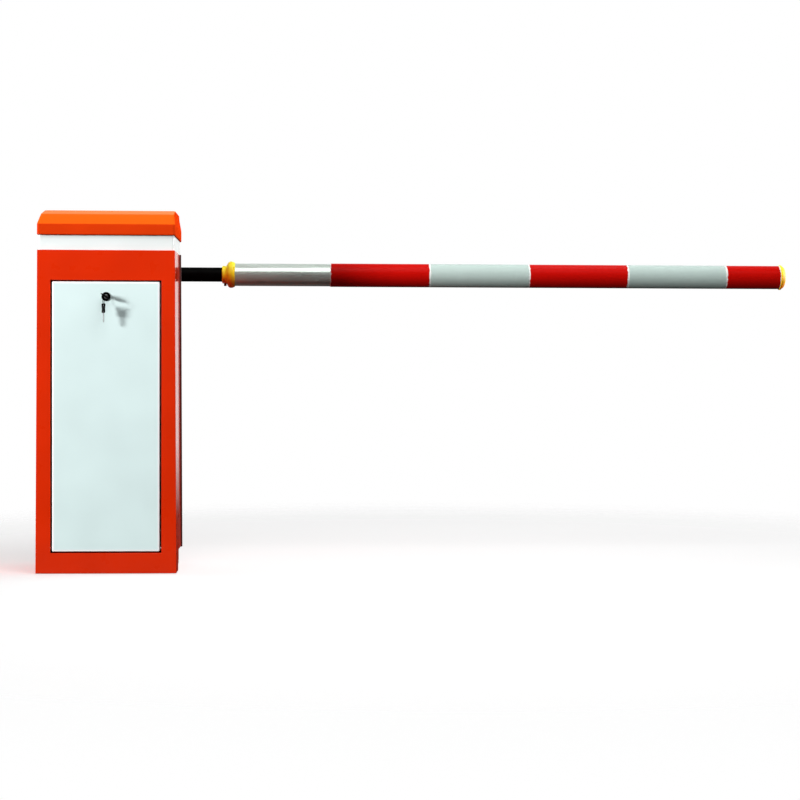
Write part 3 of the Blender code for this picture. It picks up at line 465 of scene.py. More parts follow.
def lathe(bm, outline, at=(0, 0, 0), axis="Z", sides=ROUND, finish=0, wrap=False, lobes=0, depth=0.0,
          turn=0.0):
    """Turns (radius, height) points about an axis. lobes cuts that many grooves of this depth."""
    rows = []
    for radius, height in outline:
        row = []
        for i in range(sides):
            angle = 2 * pi * i / sides
            grip = depth * (0.5 + 0.5 * cos(lobes * angle)) if lobes else 0.0
            reach = max(radius - grip, 0.00002)
            row.append((reach * cos(angle + turn), reach * sin(angle + turn), height))
        rows.append(row)
    loft(bm, rows, finish, Matrix.Translation(at) @ AXES[axis], wrap)


def chamfered(inner, outer, low, high, c):
    """Closed rectangular section with cut corners."""
    return [(inner + c, low), (outer - c, low), (outer, low + c), (outer, high - c),
            (outer - c, high), (inner + c, high), (inner, high - c), (inner, low + c)]


def ring(bm, outer, inner, low, high, at=(0, 0, 0), axis="Z", chamfer=0.0005):
    """Tube with chamfered ends."""
    lathe(bm, chamfered(inner, outer, low, high, chamfer), at, axis, wrap=True)


def disc(bm, radius, low, high, at=(0, 0, 0), axis="Z", sides=SMALL_ROUND, finish=0, chamfer=0.0006):
    """Round bar or disc with chamfered ends."""
    c = min(chamfer, radius / 3)
    outline = [(radius - c, low), (radius, low + c), (radius, high - c), (radius - c, high)]
    lathe(bm, outline, at, axis, sides, finish)


def box(bm, low, high, bevel=0.0008, finish=0, place=None, segments=2):
    """Box between two opposite corners, with rounded edges."""
    low, high = Vector(low), Vector(high)
    part = bmesh.new()
    at = Matrix.Translation((low + high) / 2) @ Matrix.Diagonal((*(high - low), 1.0))
    bmesh.ops.create_cube(part, size=1.0, matrix=at)
    if bevel:
        bmesh.ops.bevel(part, geom=part.edges[:], offset=bevel, segments=segments, profile=0.5,
                        affect="EDGES")
    merge(bm, part, finish, place)


def hex_head(bm, at, axis="Z", across=0.01, height=0.005, finish=0, turn=0.0):
    """Bolt head or nut with chamfered corners. It starts at the point and grows along the axis."""
    radius = across / sqrt(3)
    outline = [(radius, 0.0), (radius, 0.75 * height), (0.86 * radius, height)]
    lathe(bm, outline, at, axis, 6, finish, turn=turn)


def bolt_circle(bm, centre, axis, reach, count, first_deg, across, height, turn_step=0.0):
    """Bolt heads in the second finish, evenly round a centre."""
    for i in range(count):
        angle = radians(first_deg + 360 / count * i)
        one, other = reach * cos(angle), reach * sin(angle)
        offset = Vector((one, 0, other)) if axis == "Y" else Vector((one, other, 0))
        hex_head(bm, Vector(centre) + offset, axis, across, height, 1, turn_step * i)


def swept(bm, points, radius, sides=10, closed=False, finish=0):
    """Round wire through the points, with its section carried along without twist."""
    points = [Vector(point) for point in points]
    count = len(points)
    rows = []
    across = None
    for i, point in enumerate(points):
        before = points[i - 1] if closed or i else point
        after = points[(i + 1) % count] if closed or i < count - 1 else point
        along = (after - before).normalized()
        if across is None:
            helper = Vector((0, 0, 1)) if abs(along.z) < 0.9 else Vector((1, 0, 0))
            across = along.cross(helper).normalized()
        across = (across - along * across.dot(along)).normalized()
        other = along.cross(across)
        rows.append([point + radius * (cos(a) * across + sin(a) * other)
                     for a in (2 * pi * j / sides for j in range(sides))])
    loft(bm, rows, finish, wrap=closed)


def helix(centre, radius, low, high, turns, per_turn=16, start=0.0):
    """Points of a coil that rises along Z."""
    steps = int(turns * per_turn)
    made = []
    for i in range(steps + 1):
        angle = start + 2 * pi * turns * i / steps
        height = low + (high - low) * i / steps
        made.append((centre[0] + radius * cos(angle), centre[1] + radius * sin(angle), height))
    return made


def arc(centre, radius, start_deg, end_deg, steps):
    """Points along an arc, both ends included."""
    angles = [radians(start_deg + (end_deg - start_deg) * i / steps) for i in range(steps + 1)]
    return [(centre[0] + radius * cos(a), centre[1] + radius * sin(a)) for a in angles]


def rounded_rectangle(half_x, low_y, high_y, low_radius, high_radius, steps=8):
    """Anticlockwise outline from the low left corner."""
    corners = [
        (-half_x + low_radius, low_y + low_radius, low_radius, 180),
        (half_x - low_radius, low_y + low_radius, low_radius, 270),
        (half_x - high_radius, high_y - high_radius, high_radius, 0),
        (-half_x + high_radius, high_y - high_radius, high_radius, 90),
    ]
    outline = []
    for x, y, radius, start in corners:
        outline += arc((x, y), radius, start, start + 90, steps)
    return outline


def plate(bm, outlines, thick, edge, finish=0, place=None):
    """Flat plate with rounded edges. The first (x, y) outline is its rim, any others are holes."""
    curve = bpy.data.curves.new("plate", "CURVE")
    curve.dimensions = "2D"
    curve.fill_mode = "BOTH"
    curve.extrude = thick / 2 - edge
    curve.bevel_depth = edge
    curve.bevel_resolution = 2
    curve.offset = -edge
    for outline in outlines:
        spline = curve.splines.new("POLY")
        spline.points.add(len(outline) - 1)
        for point, (x, y) in zip(spline.points, outline):
            point.co = (x, y, 0, 1)
        spline.use_cyclic_u = True
    held = new_object("plate", curve)
    bpy.context.view_layer.update()
    graph = bpy.context.evaluated_depsgraph_get()
    mesh = bpy.data.meshes.new_from_object(held.evaluated_get(graph))
    bpy.data.objects.remove(held, do_unlink=True)
    part = bmesh.new()
    part.from_mesh(mesh)
    bmesh.ops.remove_doubles(part, verts=part.verts, dist=0.00001)
    bmesh.ops.recalc_face_normals(part, faces=part.faces)
    merge(bm, part, finish, place)


def from_cad(node, bevel=0.0008, segments=2, angle=30):
    """The CAD node's shape with its sharp edges rounded."""
    bm = bmesh.new()
    bm.from_mesh(frame["nodes"][node].data)
    bmesh.ops.remove_doubles(bm, verts=bm.verts, dist=0.00001)
    bmesh.ops.dissolve_limit(bm, angle_limit=radians(0.5), verts=bm.verts[:], edges=bm.edges[:])
    sharp = [edge for edge in bm.edges
             if edge.is_manifold and edge.calc_face_angle(0) > radians(angle)]
    bmesh.ops.bevel(bm, geom=sharp, offset=bevel, segments=segments, profile=0.5, affect="EDGES")
    bmesh.ops.remove_doubles(bm, verts=bm.verts, dist=0.00001)
    for face in bm.faces:
        face.material_index = 0
    return bm


def corner_normals(bm, smooth):
    """Normal of every face corner: the faces there that meet at less than the angle, by area."""
    limit = cos(radians(smooth))
    bm.normal_update()
    areas = {face: face.calc_area() for face in bm.faces}
    made = []
    for face in bm.faces:
        for corner in face.loops:
            near = [other for other in corner.vert.link_faces if other.normal.dot(face.normal) > limit]
            total = sum((other.normal * areas[other] for other in near), Vector())
            made.append(total.normalized() if total.length > 0 else face.normal)
    return made


def stand_for(node, bm, *finishes, smooth=50, main=None):
    """Shows this mesh in place of the CAD node. Material index 0 is the node's slot finish."""
    name = node + "_detail"
    mesh = bpy.data.meshes.new(name)
    normals = corner_normals(bm, smooth)
    bm.to_mesh(mesh)
    bm.free()
    mesh.shade_smooth()
    mesh.normals_split_custom_set(normals)
    slot = NODE_SLOTS[node]
    for finish in (main or FINISHES[slot], *finishes):
        mesh.materials.append(finish.material)
    made = new_object(name, mesh)
    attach(made, frame["nodes"][node]["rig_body"])
    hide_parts(node)
    return made


def stand_turned(node, outline, at=(0, 0, 0), axis="Z", main=None, **settings):
    """Shows one turned piece in place of the CAD node."""
    bm = bmesh.new()
    lathe(bm, outline, at, axis, **settings)
    return stand_for(node, bm, main=main)


def stand_tube(node, outer, inner, low, high, at, axis, chamfer=0.0005):
    """Shows a tube with chamfered ends in place of the CAD node."""
    bm = bmesh.new()
    ring(bm, outer, inner, low, high, at, axis, chamfer=chamfer)
    stand_for(node, bm)


def stand_rod(node, radius, low, high, at, axis, sides):
    """Shows a round bar with chamfered ends in place of the CAD node."""
    bm = bmesh.new()
    disc(bm, radius, low, high, at, axis, sides)
    stand_for(node, bm)


def stand_rounded(bevels):
    """Shows CAD nodes with their sharp edges rounded by these widths."""
    for node, bevel in bevels.items():
        stand_for(node, from_cad(node, bevel))


def mark_edge(piece, distance):
    """Stores each vertex's distance from the piece's edge, which its finish reads."""
    attribute = piece.data.attributes.new("edge", "FLOAT", "POINT")
    for vertex in piece.data.vertices:
        attribute.data[vertex.index].value = distance(vertex.co)


# ---- cabinet

HOOD_PROFILE = (               # (side inset, front inset, rear inset, height), from the lid's lower edge up
    (0.001, 0.001, 0.001, 0.934), (0.0002, 0.0002, 0.0002, 0.9352),
    (0.0, 0.0, 0.0, 0.937), (0.0, 0.0, 0.0, 0.9618),
    (0.0001, 0.0006, 0.0, 0.9637), (0.0004, 0.0024, 0.0, 0.9658),
    (0.003, 0.0215, 0.0006, 0.9805), (0.005, 0.0355, 0.001, 0.9908),
    (0.0052, 0.0385, 0.0011, 0.9926), (0.0055, 0.042, 0.0013, 0.9943),
    (0.0057, 0.046, 0.0015, 0.9956), (0.0065, 0.1, 0.003, 1.0074),
    (0.0072, 0.106, 0.004, 1.009), (0.0095, 0.112, 0.0065, HOOD_TOP),
)
HOOD_SHEET = 0.0025
HOOD_HALF = HALF + 0.0005
HOOD_FRONT = FRONT - 0.002
HOOD_REAR = REAR + 0.002
HOOD_FRONT_R = 0.006           # corner radii in plan
HOOD_REAR_R = 0.045


def hood_row(side_inset, front_inset, rear_inset, height, sheet=0.0):
    outline = rounded_rectangle(HOOD_HALF - side_inset - sheet, HOOD_FRONT + front_inset + sheet,
                                HOOD_REAR - rear_inset - sheet, HOOD_FRONT_R - sheet,
                                HOOD_REAR_R - rear_inset - sheet)
    return [(x, y, height) for x, y in outline]


def hood():
    """Folded lid with soft bends and a front slope, a hemmed lower edge and its two studs."""
    bm = bmesh.new()
    outer = [hood_row(*row) for row in HOOD_PROFILE]
    inner = [hood_row(*insets, min(height, HOOD_TOP - HOOD_SHEET), HOOD_SHEET)
             for *insets, height in HOOD_PROFILE[1:-1]]
    loft(bm, inner[::-1] + outer)
    for side in (-1, 1):
        disc(bm, 0.004, 0.902, HOOD_TOP - 0.0015, (side * STUD_X, 0, 0), finish=1)
    stand_for("hood", bm, STEEL)


NECK_HALF = HALF - 0.003
NECK_DEEP = 0.144              # from the middle to the neck's front and rear


def neck_band():
    """Pale ring between body and hood, with its edges rounded."""
    bm = bmesh.new()
    rows = []
    for inset, height in chamfered(0, 0.003, BODY_TOP + GAP, NECK_TOP - GAP, 0.0008):
        outline = rounded_rectangle(NECK_HALF - inset, -NECK_DEEP + inset, NECK_DEEP - inset,
                                    0.005 - inset, 0.042 - inset)
        rows.append([(x, y, height) for x, y in outline])
    loft(bm, rows, wrap=True)
    for side in (-1, 1):
        inner, outer = sorted((side * 0.13, side * (NECK_HALF - 0.0025)))
        box(bm, (inner, -0.015, 0.925), (outer, 0.015, 0.928), 0.0006)
    stand_for("neck_band", bm)


LOUVRE_ROWS = ((-0.062, 0.0004), (-0.056, 0.004), (0.056, 0.004), (0.062, 0.0004))  # (x, depth)
LOUVRE_HIGH = 0.01             # height of a pressed hood
LOUVRE_STEP = 0.022            # spacing of the vent slots


def louvres(bm):
    """Pressed hoods over the rear shell's vent slots."""
    wall = REAR - 0.0005
    for i in range(5):
        foot = 0.182 + LOUVRE_STEP * i
        rows = []
        for x, depth in LOUVRE_ROWS:
            bow = arc((0, 0), 1.0, 0, 90, 6)
            outside = [(wall + depth * y, foot + LOUVRE_HIGH * z) for y, z in bow]
            sheet = 0.0008 if depth > 0.001 else 0.00024
            inside = [(y - sheet, z - 0.0006) for y, z in outside]
            rows.append([(x, y, z) for y, z in outside + inside[::-1]])
        loft(bm, rows)


def rear_shell():
    bm = from_cad("rear_shell", 0.0007)
    louvres(bm)
    stand_for("rear_shell", bm)


def side_seals():
    # The seals' maroon is partly painted shade, so the rear edge reads as in shadow.
    for node in ("side_seal_left", "side_seal_right"):
        stand_for(node, from_cad(node, 0.0014, 3), main=MAROON_SHADE_RUBBER)


def side_plug():
    """Domed rubber plug in the knock-out hole."""
    low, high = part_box("side_plug")
    middle = (low + high) / 2
    outline = [(0, 0.006), (0.0085, 0.006), (0.01, 0.0045), (0.01, -0.0002),
               (0.0122, -0.0003), (0.0125, -0.0008), (0.0112, -0.002), (0.007, -0.0026),
               (0.006, -0.0022), (0, -0.0022)]
    at = (low.x + 0.0025, middle.y, middle.z)
    stand_turned("side_plug", outline, at, "X", sides=SMALL_ROUND)


def knobs():
    """Fluted knobs under the hood."""
    outline = [(0.0044, 0.9245), (0.0085, 0.9245), (0.0085, 0.9195), (0.012, 0.9185),
               (0.0142, 0.9165), (0.0142, 0.9085), (0.0125, 0.907), (0.0044, 0.907)]
    for node, side in (("hood_knob_left", -1), ("hood_knob_right", 1)):
        stand_turned(node, outline, (side * STUD_X, 0, 0), wrap=True, lobes=8, depth=0.0012)


def cable_gland():
    """Ribbed gland with a hexagonal collar."""
    bm = bmesh.new()
    at = (-0.11, -0.06, 0)
    body = [(0.0095, 0.0015), (0.0158, 0.0015), (0.0158, 0.0085), (0.0172, 0.0087),
            (0.0172, 0.024), (0.0165, 0.026), (0.0165, 0.037), (0.014, 0.04), (0.0095, 0.04)]
    lathe(bm, body, at, wrap=True, lobes=16, depth=0.0004)
    lathe(bm, [(0.0205, 0.0085), (0.0205, 0.02), (0.01886, 0.0225)], at, sides=6)
    stand_for("cable_gland", bm)


def build_cabinet():
    stand_rounded({"front_frame": 0.0012, "plinth": 0.001, "base_plate": 0.0008, "door_seal": 0.0012,
                   "shaft_seal": 0.001})
    hood()
    neck_band()
    rear_shell()
    side_seals()
    side_plug()
    knobs()
    cable_gland()


# ---- door, lock and keys

def door_row(inset, y, corner=0.003):
    radius = max(corner - inset, 0.0008)
    outline = rounded_rectangle(DOOR_HALF - inset, DOOR_LOW + inset, DOOR_HIGH - inset, radius, radius, 4)
    return [(x, y, z) for x, z in outline]


def door_edge(point):
    return min(DOOR_HALF - abs(point.x), point.z - DOOR_LOW, DOOR_HIGH - point.z)


def door_panel():
    """Pan with a rolled front edge and folded flanges."""
    roll = 0.0024
    bend = [(roll - roll * sin(a), DOOR_FRONT + roll - roll * cos(a))
            for a in (radians(15 * i) for i in range(7))]
    face = [door_row(inset, DOOR_FRONT) for inset in (0.02, 0.008, 0.0068, 0.0036)]
    outside = face + [door_row(inset, y) for inset, y in bend]
    outside.append(door_row(0, DOOR_BACK - 0.0006))
    outside.append(door_row(0.0006, DOOR_BACK))
    inside = [door_row(inset, y) for inset, y in (
        (DOOR_SHEET, DOOR_BACK), (DOOR_SHEET, DOOR_FRONT + 0.0034),
        (DOOR_SHEET + 0.0014, DOOR_FRONT + DOOR_SHEET), (0.02, DOOR_FRONT + DOOR_SHEET),
    )]
    bm = bmesh.new()
    loft(bm, outside + inside)
    made = stand_for("door_panel", bm, main=DOOR_PAINT)
    mark_edge(made, door_edge)


def lock_body():
    """Black barrel with its bezel."""
    outline = [(0.0063, 0.029), (0.0096, 0.029), (0.01, 0.0286), (0.01, 0.0025), (0.0122, 0.0025),
               (0.0125, 0.002), (0.0122, 0.0008), (0.0113, 0.0), (0.0095, 0.0),
               (0.0085, 0.0006), (0.0063, 0.0006)]
    stand_turned("lock_body", outline, (0, -0.1538, LOCK_Z), "Y", BLACK_PAINT, wrap=True)


KEY_TILT = radians(-33)
KEY_Y = -0.1705
WEB_Y = -0.1795
RING_X = -0.004
WEB_Z = LOCK_Z + RING_X * tan(KEY_TILT)
KEY_RING_R = 0.0162
RING_Z = WEB_Z - 0.011
SPARE_TURN = radians(-60)
SPARE_HOLE_Z = RING_Z - KEY_RING_R


def lock_key():
    """Lock plug and the black-headed key that stands in it."""
    bm = bmesh.new()
    disc(bm, 0.006, -0.1534, -0.1202, (0, 0, LOCK_Z), "Y", finish=1)
    turned = Matrix.Rotation(-KEY_TILT, 4, "Y")
    box(bm, (-0.004, -0.156, -0.0011), (0.004, -0.153, 0.0011), 0.0003, 1,
        Matrix.Translation((0, 0, LOCK_Z)) @ turned)
    rim = rounded_rectangle(0.014, -0.01, 0.0085, 0.005, 0.004)
    web = RING_X / cos(KEY_TILT)
    hole = [(web + x, y) for x, y in rounded_rectangle(0.0042, -0.008, 0.0065, 0.0025, 0.0025, 4)]
    place = Matrix.Translation((0, KEY_Y, LOCK_Z)) @ turned
    plate(bm, [rim, hole], 0.003, 0.0009, place=place)
    box(bm, (-0.0055, 0.006, -0.0022), (0.0055, 0.0145, 0.0022), 0.0009, 0, place)
    stand_for("lock_key", bm, STEEL, main=BLACK_PAINT)


def key_ring():
    """Split ring of two turns."""
    points = []
    turns, per_turn = 2, 40
    for i in range(turns * per_turn + 1):
        angle = 2 * pi * i / per_turn
        x = RING_X - 0.00042 + 0.00084 * i / (turns * per_turn)
        points.append((x, WEB_Y + KEY_RING_R * cos(angle), RING_Z + KEY_RING_R * sin(angle)))
    bm = bmesh.new()
    swept(bm, points, 0.00045)
    stand_for("key_ring", bm, main=BLACK_PAINT)


SPARE_HEAD = (                 # (half-width, height over the hole) down the right side of the key's head
    (0.0035, 0.0046), (0.007, 0.004), (0.0088, 0.0024), (0.009, 0.0), (0.0084, -0.0026),
    (0.0078, -0.0052), (0.0072, -0.008), (0.0072, -0.011), (0.0076, -0.015), (0.008, -0.018),
    (0.0074, -0.0202), (0.0056, -0.0214),
)


def spare_key():
    """Second key: waisted black head, and a blade with cuts along one edge."""
    bm = bmesh.new()
    right = [(x, -y) for x, y in SPARE_HEAD]
    head = right + [(-x, y) for x, y in right[::-1]]
    hole = rounded_rectangle(0.0052, -0.0022, 0.0022, 0.002, 0.002, 4)
    upright = Matrix.Rotation(-pi / 2, 4, "X")
    place = Matrix.Translation((RING_X, WEB_Y, SPARE_HOLE_Z)) @ Matrix.Rotation(SPARE_TURN, 4, "Z")
    plate(bm, [head, hole], 0.0044, 0.001, 0, place @ upright)
    low, high, edge = 0.0205, 0.047, 0.0033
    teeth = [(-edge, low)]
    for i, cut in enumerate((0.0, 0.0012, 0.0005, 0.0016, 0.0008, 0.0014)):
        start = low + 0.004 + 0.0036 * i
        teeth.append((cut - edge, start))
        teeth.append((cut - edge, start + 0.0018))
    blade = teeth + [(-0.0012, high - 0.0004), (0.0012, high), (edge, high - 0.0022), (edge, low)]
    plate(bm, [blade], 0.0018, 0.0003, 1, place @ upright)
    stand_for("spare_key", bm, FINISHES["cast_aluminium"], main=BLACK_PAINT)


def build_door():
    door_panel()
    lock_body()
    lock_key()
    key_ring()
    spare_key()
    stand_rod("hinge_rod", 0.003, -0.16, 0.16, (0, -0.143, 0.07), "X", 24)
    stand_rounded({"lock_cam": 0.0005})


# ---- boom

def tubes():
    """Black inner tube, the pole that slides on it, and the bush between them."""
    stand_tube("inner_tube", INNER_TUBE_R, 0.018, -0.1, 0.72, ON_BOOM, "X")
    stand_tube("pole_tube", POLE_R, POLE_BORE_R, POLE_LEFT, POLE_RIGHT, ON_BOOM, "X")
    stand_tube("inner_bush", 0.0296, INNER_TUBE_R + GAP, 0.685, 0.712, ON_BOOM, "X")


CUT_EDGE = 0.0004              # bevel along a sleeve's cut edge
EDGE_BAND = 0.006              # how far in from it the edge distance is recorded


def sleeves():
    """Reflective sleeves with bevelled cut edges."""
    names = ("red_film_1", "pale_film_1", "red_film_2", "pale_film_2", "red_film_3")
    inner = POLE_R + GAP
    for i, node in enumerate(names):
        left = SLEEVE_LEFT + i * SLEEVE_LENGTH + GAP
        right = min(SLEEVE_LEFT + (i + 1) * SLEEVE_LENGTH, POLE_RIGHT) - GAP
        outline = [
            (inner, left), (SLEEVE_R - CUT_EDGE, left), (SLEEVE_R, left + CUT_EDGE),
            (SLEEVE_R, left + EDGE_BAND), (SLEEVE_R, right - EDGE_BAND),
            (SLEEVE_R, right - CUT_EDGE), (SLEEVE_R - CUT_EDGE, right), (inner, right),
        ]
        made = stand_turned(node, outline, ON_BOOM, "X", wrap=True)
        mark_edge(made, lambda point: min(point.x - left, right - point.x))


def pole_collar():
    """Narrow sleeve that swells to a round bead, and its spigot inside the pole."""
    bore = INNER_TUBE_R + 0.0005
    section = [
        (bore, 0.0005), (0.0238, 0), (0.0252, 0.0008), (0.0259, 0.0022), (0.0259, 0.0055),
        (0.0252, 0.0066), (0.0254, 0.009), (0.0262, 0.012), (0.0285, 0.014), (0.0325, 0.016),
        (0.0358, 0.0184), (0.038, 0.0212), (0.0389, 0.0242), (0.039, 0.027), (0.0386, 0.03),
        (0.0376, 0.033), (0.0362, 0.0358), (0.035, 0.0373), (0.0338, 0.0377), (0.0296, 0.0377),
        (0.0296, 0.061), (0.0288, 0.062), (bore, 0.062),
    ]
    outline = [(radius, COLLAR_LEFT + along) for radius, along in section]
    stand_turned("pole_collar", outline, ON_BOOM, "X", wrap=True)


def clamp_screw():
    """Fluted thumb screw."""
    outline = [(0.0022, 0.8115), (0.0036, 0.8118), (0.004, 0.8124), (0.004, 0.818),
               (0.0034, 0.8188), (0.0034, 0.823), (0.0028, 0.8234)]
    stand_turned("clamp_screw", outline, (COLLAR_LEFT + 0.009, BOOM_Y, 0), main=BROWN_STEEL, sides=48,
                 lobes=12, depth=0.0003)


def end_cap():
    """Domed plug with a rounded rim."""
    face = POLE_RIGHT + GAP
    dome = [(0.037, 0.001), (0.037, 0.0036), (0.0362, 0.0052), (0.0345, 0.0062), (0.0338, 0.0064),
            (0.0332, 0.0082), (0.0315, 0.011), (0.028, 0.0136), (0.023, 0.0154), (0.016, 0.0165),
            (0.008, 0.017)]
    outline = [(0.028, face - 0.025), (0.0296, face - 0.023), (0.0296, face), (0.0362, face)]
    outline += [(radius, face + height) for radius, height in dome]
    stand_turned("end_cap", outline, ON_BOOM, "X")


U_BOLT_ARM = 0.0253            # from the boom's axis to each leg
U_BOLT_END = 0.1628            # where the legs end, in front of the holder
U_BOLT_SEAT = 0.1738           # where the nuts meet their washers


def u_bolts():
    """Bent threaded bars with a washer and a nut on each leg."""
    for node, x in (("u_bolt_inner", -0.06), ("u_bolt_outer", 0.12)):
        bend = arc((BOOM_Y, BOOM_Z), U_BOLT_ARM, -90, 90, 24)
        points = [(x, U_BOLT_END, BOOM_Z - U_BOLT_ARM)] + [(x, y, z) for y, z in bend]
        points.append((x, U_BOLT_END, BOOM_Z + U_BOLT_ARM))
        bm = bmesh.new()
        swept(bm, points, 0.004, 20)
        for side in (-1, 1):
            z = BOOM_Z + side * U_BOLT_ARM
            disc(bm, 0.0082, U_BOLT_SEAT, U_BOLT_SEAT + 0.0012, (x, 0, z), "Y")
            hex_head(bm, (x, U_BOLT_SEAT, z), "Y", 0.013, -0.0068, turn=0.3 * side)
            for i in range(3):
                thread = U_BOLT_END + 0.0004 + 0.0012 * i
                disc(bm, 0.0041, thread, thread + 0.0006, (x, 0, z), "Y", 20, chamfer=0.0002)
        stand_for(node, bm)


def hub():
    """Flange on the shaft's end with a ring of bolts."""
    bm = bmesh.new()
    outline = [(0.01, 0.16), (0.033, 0.16), (0.034, 0.161), (0.034, 0.163), (0.036, 0.165),
               (0.0485, 0.166), (0.05, 0.1672), (0.05, 0.1738), (0.0488, 0.175), (0.01, 0.175)]
    lathe(bm, outline, ON_SHAFT, "Y")
    bolt_circle(bm, (0, 0.1662, BOOM_Z), "Y", 0.0425, 6, 30, 0.0085, -0.004, 0.5)
    stand_for("hub_flange", bm, ZINC)


def build_boom():
    tubes()
    sleeves()
    pole_collar()
    clamp_screw()
    end_cap()
    u_bolts()
    hub()
    stand_rounded({"boom_holder": 0.0012})


# ---- machinery

SPRING_X = -0.0495
SPRING_FOOT_Z = 0.416
SPRING_TOP_Z = 0.888


def balance_springs():
    """Close-wound tension springs, hooked to the anchor and to the lever's pin."""
    for node, y in (("balance_spring_front", -0.056), ("balance_spring_rear", -0.031)):
        wire, coil = 0.00135, 0.0095
        low, high = SPRING_FOOT_Z + 0.034, SPRING_TOP_Z - 0.034
        body = helix((SPRING_X, y), coil, low, high, 96, 14)
        hook = ((0, 0.0016), (0, 0.018), (0.004, 0.028))
        foot = [(SPRING_X + aside, y, SPRING_FOOT_Z + along) for aside, along in hook]
        head = [(SPRING_X + aside, y, SPRING_TOP_Z - along) for aside, along in hook[::-1]]
        bm = bmesh.new()
        swept(bm, foot + body + head, wire, 8)
        made = stand_for(node, bm, smooth=60)
        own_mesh(made)


FINS = 28                      # round the motor, less those where its terminal box is


def motor():
    """Finned motor body with a flange, four bolts and a terminal box."""
    bm = bmesh.new()
    outline = [(0.012, 0.3003), (0.039, 0.3003), (0.04, 0.3015), (0.04, 0.46), (0.043, 0.464),
               (0.049, 0.47), (0.05, 0.4712), (0.05, 0.4805), (0.049, 0.4815),
               (0.012, 0.4815)]
    lathe(bm, outline, ON_WORM, wrap=True)
    for i in range(FINS):
        angle = 2 * pi * i / FINS
        beside_terminal_box = abs(sin(angle)) < 0.5 and cos(angle) > 0
        if beside_terminal_box:
            continue
        place = Matrix.Translation(ON_WORM) @ Matrix.Rotation(angle, 4, "Z")
        box(bm, (0.0385, -0.0009, 0.306), (0.044, 0.0009, 0.456), 0.0005, 0, place)
    box(bm, (WORM_X + 0.0385, WORM_Y - 0.03, 0.37), (WORM_X + 0.064, WORM_Y + 0.03, 0.44), 0.003)
    box(bm, (WORM_X + 0.064, WORM_Y - 0.031, 0.369), (WORM_X + 0.068, WORM_Y + 0.031, 0.441), 0.0015)
    bolt_circle(bm, (WORM_X, WORM_Y, 0.4712), "Z", 0.0445, 4, 45, 0.008, -0.004)
    stand_for("motor", bm, ZINC)


def fan_cover():
    """Cowl with slots in its end."""
    low, high = 0.246, 0.2997
    bm = bmesh.new()
    outline = [(0.044, high), (0.046, high), (0.046, low + 0.007), (0.044, low + 0.002),
               (0.04, low), (0.0335, low), (0.0335, low + 0.002), (0.039, low + 0.0025),
               (0.0425, low + 0.005), (0.044, low + 0.009)]
    lathe(bm, outline, ON_WORM, wrap=True)
    for radius in (0.012, 0.019, 0.026):
        ring(bm, radius + 0.0013, radius - 0.0013, low + 0.0002, low + 0.0018, ON_WORM)
    for i in range(8):
        place = Matrix.Translation(ON_WORM) @ Matrix.Rotation(radians(45 * i), 4, "Z")
        box(bm, (0.0108, -0.001, low + 0.0004), (0.0345, 0.001, low + 0.002), 0.0003, 0, place)
    stand_for("fan_cover", bm)


def gear_case():
    """Cast case with a bolted cover and an oil plug."""
    bm = from_cad("gear_case", 0.0022, 3)
    disc(bm, 0.052, 0.1215, 0.1265, ON_WHEEL, "Y", ROUND)
    disc(bm, 0.018, 0.126, 0.129, ON_WHEEL, "Y")
    bolt_circle(bm, (0, 0.1263, GEARBOX_Z), "Y", 0.044, 6, 0, 0.008, 0.004)
    hex_head(bm, (-0.035, 0.075, 0.6075), "Z", 0.014, 0.007, 2)
    stand_for("gear_case", bm, ZINC, BRASS)


RELAY, TERMINAL, CHIP, SOLDER, COVER = 1, 2, 3, 4, 5   # material indices on the board
ON_BOARD = 0.0082              # how deep the parts reach, just into the board's face


def circuit_board():
    """Controller board: terminals, relays, transformer, capacitors and small parts."""
    bm = bmesh.new()
    box(bm, (-0.085, 0.008, 0.14), (0.085, 0.01, 0.33), 0.0003)
    for i in range(12):
        x = -0.074 + 0.0124 * i
        box(bm, (x, -0.006, 0.145), (x + 0.0116, ON_BOARD, 0.162), 0.0006, TERMINAL)
        disc(bm, 0.0026, -0.0066, -0.005, (x + 0.0058, 0, 0.158), "Y", 16, SOLDER)
        box(bm, (x + 0.003, -0.0062, 0.1462), (x + 0.0086, -0.005, 0.1512), 0.0003, CHIP)
    box(bm, (-0.07, -0.02, 0.262), (-0.02, ON_BOARD, 0.308), 0.0015, CHIP)
    box(bm, (-0.064, -0.03, 0.255), (-0.026, -0.004, 0.315), 0.002, COVER)
    for i in range(3):
        x = 0.026 * i
        box(bm, (x, -0.008, 0.27), (x + 0.018, ON_BOARD, 0.3), 0.001, RELAY)
    for x, z, height in ((0.01, 0.235, 0.02), (0.03, 0.24, 0.016), (0.048, 0.232, 0.012)):
        disc(bm, 0.0055, 0.0085 - height, 0.0085, (x, 0, z), "Y", 24, CHIP)
    box(bm, (-0.06, 0.0045, 0.195), (-0.03, 0.0085, 0.225), 0.0006, CHIP)
    draw = random.Random(7)
    for _ in range(46):
        x, z = draw.uniform(-0.078, 0.072), draw.uniform(0.172, 0.25)
        long_side = draw.choice((0.0016, 0.0032))
        finish = draw.choice((CHIP, SOLDER))
        box(bm, (x, 0.0068, z), (x + 0.0024, 0.0084, z + long_side), 0.0002, finish)
    for x in (-0.08, 0.08):
        for z in (0.145, 0.325):
            disc(bm, 0.0032, 0.0062, 0.0082, (x, 0, z), "Y", 16, SOLDER)
    stand_for("circuit_board", bm, BLUE_PLASTIC, GREEN_PLASTIC, FINISHES["black_plastic"], ZINC,
              CREAM_PLASTIC)


CABLE_R = 0.004
CABLE_ROUTE = (
    (0.0953, -0.015, 0.2), (0.11, -0.015, 0.2), (0.13, -0.008, 0.212), (0.143, 0.012, 0.24),
    (0.149, 0.038, 0.28), (0.151, 0.06, 0.325), (0.15, 0.076, 0.365), (0.147, 0.084, 0.392),
    (0.137, 0.085, 0.405), (WORM_X + 0.0688, 0.085, 0.405),
)


